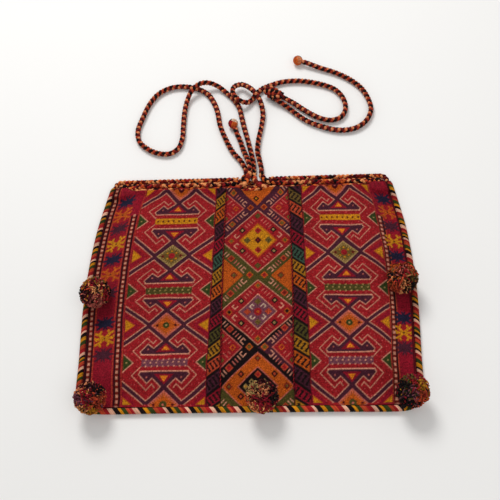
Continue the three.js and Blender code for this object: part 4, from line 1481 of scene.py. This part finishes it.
def add_rim_runs():
    """The drawcord's four runs in the rim. Each ends where a free cord leaves the mouth."""
    front_height = lambda x: front_rim_z(x, CORD_RADIUS)
    back_height = lambda x: CORD_REST_Z
    for side, sign, back_exit, front_exit in (("left", -1, "loop_start", "short"), ("right", 1, "tie", "loop_end")):
        corner = turn_points(sign)
        bend = bend_points(sign, BACK_RUN_Y, CORD_REST_Z, back_exit)
        points = corner + straight_points(corner[-1][0], bend[0][0], BACK_RUN_Y, back_height) + bend
        run = braid(f"back_run_{side}", "drawcord", smooth_route(points), CORD_DIAMETER, RUN_TURN, RUN_COLOURS)
        dress(run, "back", f"drawcord_back_{side}")

        end_x = sign * float(outline_half(FRONT_RUN_Y) - TURN_END_INSET - 1.5 * SEAT_GAP)
        lead_x = end_x - sign * CORD_RADIUS / 2
        bend = bend_points(sign, FRONT_RUN_Y, MOUTH_RUN_Z, front_exit)
        start = [(x, FRONT_RUN_Y, float(front_height(x))) for x in (end_x, lead_x)]
        points = start + straight_points(lead_x, bend[0][0], FRONT_RUN_Y, front_height) + bend
        path = smooth_route(points)
        frames = frames_along(path)
        split = int(np.argmin(np.abs(path[:, 0] - sign * RUN_SPLIT)))
        for part, span in (("outer", slice(None, split + 1)), ("inner", slice(split, None))):
            name, cut = f"front_run_{side}_{part}", [f[span] for f in frames]
            run = braid(
                name, "drawcord", path[span], CORD_DIAMETER, RUN_TURN, RUN_COLOURS, cut, RIM_SPREAD, RIM_MIX
            )
            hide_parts(f"drawcord_front_{side}")
            if part == "outer":
                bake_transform(run)
            else:
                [row_point(0, y) for y in MOUTH_BEND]
                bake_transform(run)


# Knots and knobs

KNOB_DIAMETER = 13
SLIP_KNOT_DIAMETER = 17
SLIP_KNOT_LENGTH = 23
KNOB_TURNS = 5.6
KNOB_STRAND = 0.23
KNOB_CORE = 0.36
# Patches of wool on each knob, as on the pompoms, and how far its windings are tilted
KNOB_PATCHES = {
    "tail_end_knob": [(-0.5, -0.3, "tangerine"), (0.2, -0.1, "fawn"), (0.3, 0.9, "black"), (-0.5, 0.7, "rust")],
    "short_end_knob": [(0.3, 0.3, "white"), (-0.6, 0.7, "black"), (-0.7, -0.3, "red"), (0.2, -0.8, "tangerine")],
}
KNOB_TILTS = {"tail_end_knob": 0.5, "short_end_knob": 1.2}


def wound_ball(name, centre, radius, patches, tilt):
    """A ball wound from pole to pole with a thick yarn, over a plain core, with patches of wool as a pompom has."""
    skein = Skein()
    strand = radius * KNOB_STRAND
    tilted = np.array(Matrix.Rotation(tilt, 3, "Z"))
    t = np.linspace(0, 1, 330)
    latitude = (t - 0.5) * (math.pi - 0.5)
    longitude = t * KNOB_TURNS * math.tau
    level = np.cos(latitude)
    outward = np.stack([level * np.cos(longitude), np.sin(latitude), level * np.sin(longitude)], axis=1) @ tilted.T
    places = np.array([patch[:2] for patch in patches])
    nearest = np.argmin(np.linalg.norm(outward[:, None, :2] - places, axis=2), axis=1)
    shade = np.array([linear(patches[k][2]) for k in nearest]) * mottled(t * 100, 1, 0.3)[:, None]
    skein.tube(np.array(centre) + outward * (radius - strand), outward, strand * 1.12, strand, shade, 10)
    for pole in SIDES:
        stub = np.array(centre) + tilted @ np.array([0, pole, 0]) * np.linspace(0.4, 0.94, 6)[:, None] * radius
        skein.tube(stub, np.tile([0, 0.2, 1], (6, 1)), 2.4, 2.4, linear(patches[0][2]), 10)
    return skein.finish(name, "knob_yarn")


def knob_centre(route):
    (x0, y0, _), (x1, y1, _) = route_points(route)[-2:]
    reach = (KNOB_DIAMETER / 2 + SEAT_GAP) / math.hypot(x1 - x0, y1 - y0)
    return (x1 + (x1 - x0) * reach, y1 + (y1 - y0) * reach, KNOB_DIAMETER / 2 + FLOOR_GAP)


def add_knobs():
    for name, route in (("tail_end_knob", TAIL_ROUTE), ("short_end_knob", SHORT_ROUTE)):
        place = knob_centre(route)
        ball = wound_ball(f"{name}_windings", place, KNOB_DIAMETER / 2, KNOB_PATCHES[name], KNOB_TILTS[name])
        core = round_core(f"{name}_core", place, KNOB_DIAMETER * KNOB_CORE, 1, "brick", "knob_yarn")
        for piece in (ball, core):
            dress(piece, "strap", name)


def slip_knot_ends():
    """The middle of the slip knot's flat end, and the direction from there along its barrel."""
    tie, tail = np.array(route_points(TIE_ROUTE)[-1]), np.array(route_points(TAIL_ROUTE)[0])
    side = tie - tail
    angle = math.atan2(side[1], side[0]) - math.pi / 2
    axis = np.array([math.cos(angle), math.sin(angle), 0])
    end = (tie + tail) / 2 - axis * 3 * SEAT_GAP
    end[2] = SLIP_KNOT_DIAMETER / 2 + FLOOR_GAP
    return end, axis


# The cord wound round the slip knot: its diameter, how often it goes round, how slanted it is and how far it goes on
WRAP_DIAMETER = 7.4
WRAP_TURNS = 3.4
WRAP_SLANT = 1.7
WRAP_LENGTH = SLIP_KNOT_LENGTH + 4


def add_slip_knot():
    """Turns of the cord wound round it, with its own two strands running through."""
    end, axis = slip_knot_ends()
    up = np.array([0, 0, 1.0])
    side = np.cross(up, axis)
    reach = (SLIP_KNOT_DIAMETER - WRAP_DIAMETER) / 2
    t = np.linspace(0, 1, 360)
    angle = t * WRAP_TURNS * math.tau + 0.8
    along = WRAP_SLANT * np.cos(angle + 0.6) - WRAP_DIAMETER / 2 - t * (WRAP_LENGTH - WRAP_DIAMETER)
    swell = 1 - 0.1 * (2 * t - 1) ** 2
    path = end + axis * along[:, None] + around(side * 1.08, up, angle) * (reach * swell)[:, None]
    wraps = braid("slip_knot_turns", "drawcord", path, WRAP_DIAMETER, *CORD_BRAID)
    core_path = end + axis * np.linspace(-2, 2 - WRAP_LENGTH, 30)[:, None]
    core = braid("slip_knot_core", "drawcord", core_path, 7, CORD_TURN, CORD_COLOURS)
    for piece in (wraps, core):
        dress(piece, "strap", "slip_knot")


# Pompoms

POMPOM_DIAMETER = 36
POMPOM_SQUASH = 0.88
POMPOM_UNDER = 10.2
POMPOM_CORE = 0.62
TIE_DIAMETER = 4.4
TIE_STRANDS = 3
TIE_STRAND = 1.15
TIE_LAY = 0.45
POMPOM_RADIUS = POMPOM_DIAMETER / 2
POMPOM_LIFT = POMPOM_UNDER + POMPOM_RADIUS * POMPOM_SQUASH
SIDE_POMPOM_INSET = 10.6
SIDE_TIE_INSET = 3.4
SIDE_POMPOMS = {"left_side": (-1, 0.435), "right_side": (1, 0.47)}
BOTTOM_POMPOMS = {"left_corner": (-0.917, 0.1), "bottom_middle": (0.093, 0.08), "right_corner": (0.957, 0.2)}
# Patches of wool on each pompom as seen from above: across and along, as shares of its radius, and the wool
POMPOM_PATCHES = {
    "left_side": [
        (0, 0.3, "crimson"), (0.35, -0.25, "peach"), (0.8, 0.4, "black"), (-0.6, 0.3, "coral"), (-0.2, -0.5, "maroon"),
        (0.2, -0.85, "pink"), (-0.85, -0.1, "black"), (0.3, 0.85, "olive"), (0.85, -0.2, "red"), (-0.4, 0.8, "mustard"),
    ],
    "right_side": [
        (-0.7, -0.15, "black"), (-0.4, 0.65, "orange"), (0, -0.1, "red"), (0.5, 0.45, "coral"), (0.7, -0.2, "olive"),
        (0.05, -0.75, "peach"), (0.15, 0.8, "brick"), (-0.35, 0.2, "pink"), (0.6, -0.7, "black"), (-0.6, -0.7, "coral"),
    ],
    "left_corner": [
        (-0.05, -0.44, "crimson"), (-0.1, -0.12, "red"), (-0.7, -0.34, "mauve"), (-0.5, 0.25, "fawn"),
        (0.4, 0.26, "black"), (0.75, -0.22, "rust"), (0.48, -0.45, "coral"), (0, -0.95, "mustard"),
        (-0.5, -0.8, "peach"), (0, 0.8, "maroon"),
    ],
    "bottom_middle": [
        (0.25, -0.33, "crimson"), (-0.3, -0.6, "red"), (0.1, 0.08, "fawn"), (-0.65, 0.17, "sand"),
        (-0.4, -0.16, "wine"), (-0.75, -0.48, "coral"), (-0.35, -0.9, "peach"), (0.4, -0.85, "red"),
        (0.8, -0.29, "black"), (0.4, 0.5, "maroon"),
    ],
    "right_corner": [
        (-0.7, 0.15, "black"), (0.6, 0.2, "mustard"), (0.4, 0.75, "crimson"), (-0.05, -0.5, "mauve"),
        (0.15, 0.35, "red"), (-0.4, -0.75, "black"), (-0.3, 0.65, "olive"), (0.6, -0.5, "coral"), (-0.3, -0.1, "leaf"),
    ],
}

CORE_RINGS = 10
CORE_SIDES = 20


def round_core(name, centre, radius, squash, colour, slot):
    """A plain ball, flattened, for the middle of a pompom or a knob."""
    level = np.arange(1, CORE_RINGS)[:, None] * math.pi / CORE_RINGS
    turn = np.arange(CORE_SIDES) * math.tau / CORE_SIDES
    ways = np.sin(level) * np.cos(turn), np.sin(level) * np.sin(turn), np.cos(level) * squash
    points = (np.asarray(centre) + radius * np.stack(np.broadcast_arrays(*ways), axis=-1)).reshape(-1, 3)
    rings = np.arange(len(points)).reshape(-1, CORE_SIDES)
    faces = [*quads_of(closed(rings))[:, TURNED].tolist(), rings[0].tolist(), rings[-1][::-1].tolist()]
    return make_object(name, points, faces, slot, np.tile(linear(colour), (len(points), 1)), points * MM, "strand")


# Ends of wool: how many, the shares of their length at which they have points, and there their width and painted shade,
# dark deep in the ball and lightest at the tips
TUFT_COUNT = 1200
TUFT_SHARES = np.array([0.5, 0.68, 0.82, 0.92, 0.98, 1.04])
TUFT_WIDTHS = np.array([0.8, 1.0, 1.1, 1.1, 1.0, 0.7])
TUFT_PAINTED_SHADES = np.array([0.15, 0.25, 0.45, 0.8, 1.1, 1.3])
CURLS = (5, 24)
STRONG_CURLS = (30, 52)
STRONG_CURL_EVERY = 5
# How much single ends differ in direction, length, shade and width, how blurred the patches' edges are, and how many
# ends stray into another patch
TUFT_STRAY = 0.06
TUFT_LENGTHS = (0.78, 1)
TUFT_TONES = (0.45, 1.5)
TUFT_THICKNESSES = (0.55, 0.82)
PATCH_BLUR = 0.09
STRAY_SHARE = 0.22
POMPOM_HANG = 2.6


def pompom(name, centre, patches, low):
    """A ball of curled yarn ends that all start near its middle. Each colour has its patches and some stray ends."""
    skein = Skein()
    golden = math.pi * (3 - math.sqrt(5))
    colours = [colour for _, _, colour in patches]
    ways = [(x, y, side * math.sqrt(max(1 - x * x - y * y, 0.02))) for side in (1, -1) for x, y, _ in patches]
    ways = unit(np.array(ways))
    for number in range(TUFT_COUNT):
        z = 1 - 2 * (number + 0.5) / TUFT_COUNT
        turn = number * golden
        way = np.array([math.sqrt(1 - z * z) * math.cos(turn), math.sqrt(1 - z * z) * math.sin(turn), z])
        way = unit(way + rng.normal(scale=TUFT_STRAY, size=3))
        lean = np.cross(way, rng.normal(size=3))
        lean = lean * rng.uniform(*(CURLS if number % STRONG_CURL_EVERY else STRONG_CURLS))
        reach = POMPOM_RADIUS * rng.uniform(*TUFT_LENGTHS)
        spine = way * (TUFT_SHARES * reach)[:, None] + lean * ((TUFT_SHARES - TUFT_SHARES[0]) ** 2)[:, None]
        spine *= np.minimum(1, reach / np.linalg.norm(spine, axis=1))[:, None]
        match = ways @ unit(spine[-1])
        nearest = int(np.argmax(match + rng.normal(scale=PATCH_BLUR, size=len(ways)))) % len(colours)
        if rng.uniform() < STRAY_SHARE:
            nearest = rng.integers(len(colours))
        # Painted shade deep in the ball and painted light at the tips
        shade = linear(colours[nearest]) * rng.uniform(*TUFT_TONES) * TUFT_PAINTED_SHADES[:, None]
        spine[:, 2] *= np.where(spine[:, 2] > 0, POMPOM_SQUASH, low / POMPOM_RADIUS)
        width = rng.uniform(*TUFT_THICKNESSES) * TUFT_WIDTHS
        facing = np.cross(way, [0.3, 0.2, 0.93]) + 1e-3
        skein.tube(spine + centre, np.tile(facing, (len(spine), 1)), width, width, shade, 5)
    return skein.finish(f"pompom_{name}_tufts", "pompom_wool")


def ball_under(distance):
    share = min(distance / POMPOM_RADIUS, 1)
    return POMPOM_LIFT - POMPOM_RADIUS * POMPOM_SQUASH * math.sqrt(1 - share * share)


def add_pompom(name, ball, spot, base):
    low = POMPOM_LIFT - base - POMPOM_HANG
    centre = np.array([*ball, POMPOM_LIFT])
    tufts = pompom(name, centre, POMPOM_PATCHES[name], low)
    core_radius = POMPOM_CORE * POMPOM_RADIUS
    # The core is dark maroon: painted shade, seen deep between the tufts
    core = round_core(f"pompom_{name}_core", centre, core_radius, POMPOM_SQUASH, "maroon", "pompom_wool")
    for piece in (tufts, core):
        dress(piece, f"{name}_pompom", f"pompom_{name}")
    away = max(math.hypot(ball[0] - spot[0], ball[1] - spot[1]) - TIE_DIAMETER / 2, 0)
    top = ball_under(away) - SEAT_GAP
    z = np.linspace(base, top, 14)
    path = np.stack([z * 0 + spot[0], z * 0 + spot[1], z], axis=1)
    skein = Skein()
    for number in range(TIE_STRANDS):
        angle = number * math.tau / TIE_STRANDS + (z - base) * TIE_LAY
        outward = around(np.array([1, 0, 0]), np.array([0, 1, 0]), angle)
        skein.tube(path + outward * (TIE_DIAMETER / 2 - TIE_STRAND), outward, TIE_STRAND, TIE_STRAND, linear("black"))
    dress(skein.finish(f"tie_{name}", "tie_yarn"), f"{name}_pompom", f"pompom_tie_{name}")


def add_pompoms():
    for name, (sign, share) in SIDE_POMPOMS.items():
        y = share * BAG_HEIGHT
        half = float(outline_half(y))
        spot = (sign * (half - SIDE_TIE_INSET), y)
        add_pompom(name, (sign * (half - SIDE_POMPOM_INSET), y), spot, float(front_over(*spot)) + SEAT_GAP)
    for name, (share, above) in BOTTOM_POMPOMS.items():
        half = float(outline_half(0))
        x = share * half
        on_cord = math.copysign(min(abs(x), half - BOTTOM_CORNER), share)
        spot = (on_cord, -EDGE_GAP - EDGE_RADIUS)
        add_pompom(name, (x, above * POMPOM_DIAMETER), spot, EDGE_DIAMETER + SEAT_GAP)


# Floor and light

FLOOR_REACH = 6
FLOOR_COLOUR = (0.86, 0.85, 0.83, 1)
LAMP_AIM = (0, 0.15, 0)
# Each lamp's place and width in metres, and its power
LAMPS = {"key": ((-0.4, 1.1, 1.5), 0.8, 19), "fill": ((0.8, -0.9, 1.6), 1.4, 6)}
SKY_STRENGTH = 0.52


def add_floor():
    mesh = bpy.data.meshes.new("floor")
    corners = [(a * FLOOR_REACH, b * FLOOR_REACH, 0) for a, b in ((-1, -1), (1, -1), (1, 1), (-1, 1))]
    mesh.from_pydata(corners, [], [(0, 1, 2, 3)])
    mesh.materials.append(Nodes("floor").surface(Base_Color=FLOOR_COLOUR, Roughness=0.95, Specular_IOR_Level=0))
    floor = add_object("floor", mesh)
    floor.location.z = -0.2 * MM


def add_light():
    for name, (place, size, power) in LAMPS.items():
        data = bpy.data.lights.new(name, "AREA")
        data.shape = "DISK"
        data.size = size
        data.energy = power
        add_object(name, data).matrix_world = aimed(place, LAMP_AIM)
    world = bpy.data.worlds.new("daylight")
    world.use_nodes = True
    world.node_tree.nodes["Background"].inputs["Color"].default_value = (1, 1, 1, 1)
    world.node_tree.nodes["Background"].inputs["Strength"].default_value = SKY_STRENGTH
    bpy.context.scene.world = world
    bpy.context.scene.view_settings.view_transform = "Standard"


add_camera()
add_free_cords()
add_rim_runs()
add_rim_braids()
add_mouth_rows()
add_edge_cord()
add_knobs()
add_slip_knot()
add_pompoms()
add_seams()
add_front_cloth()
add_back_cloth()
add_floor()
add_light()
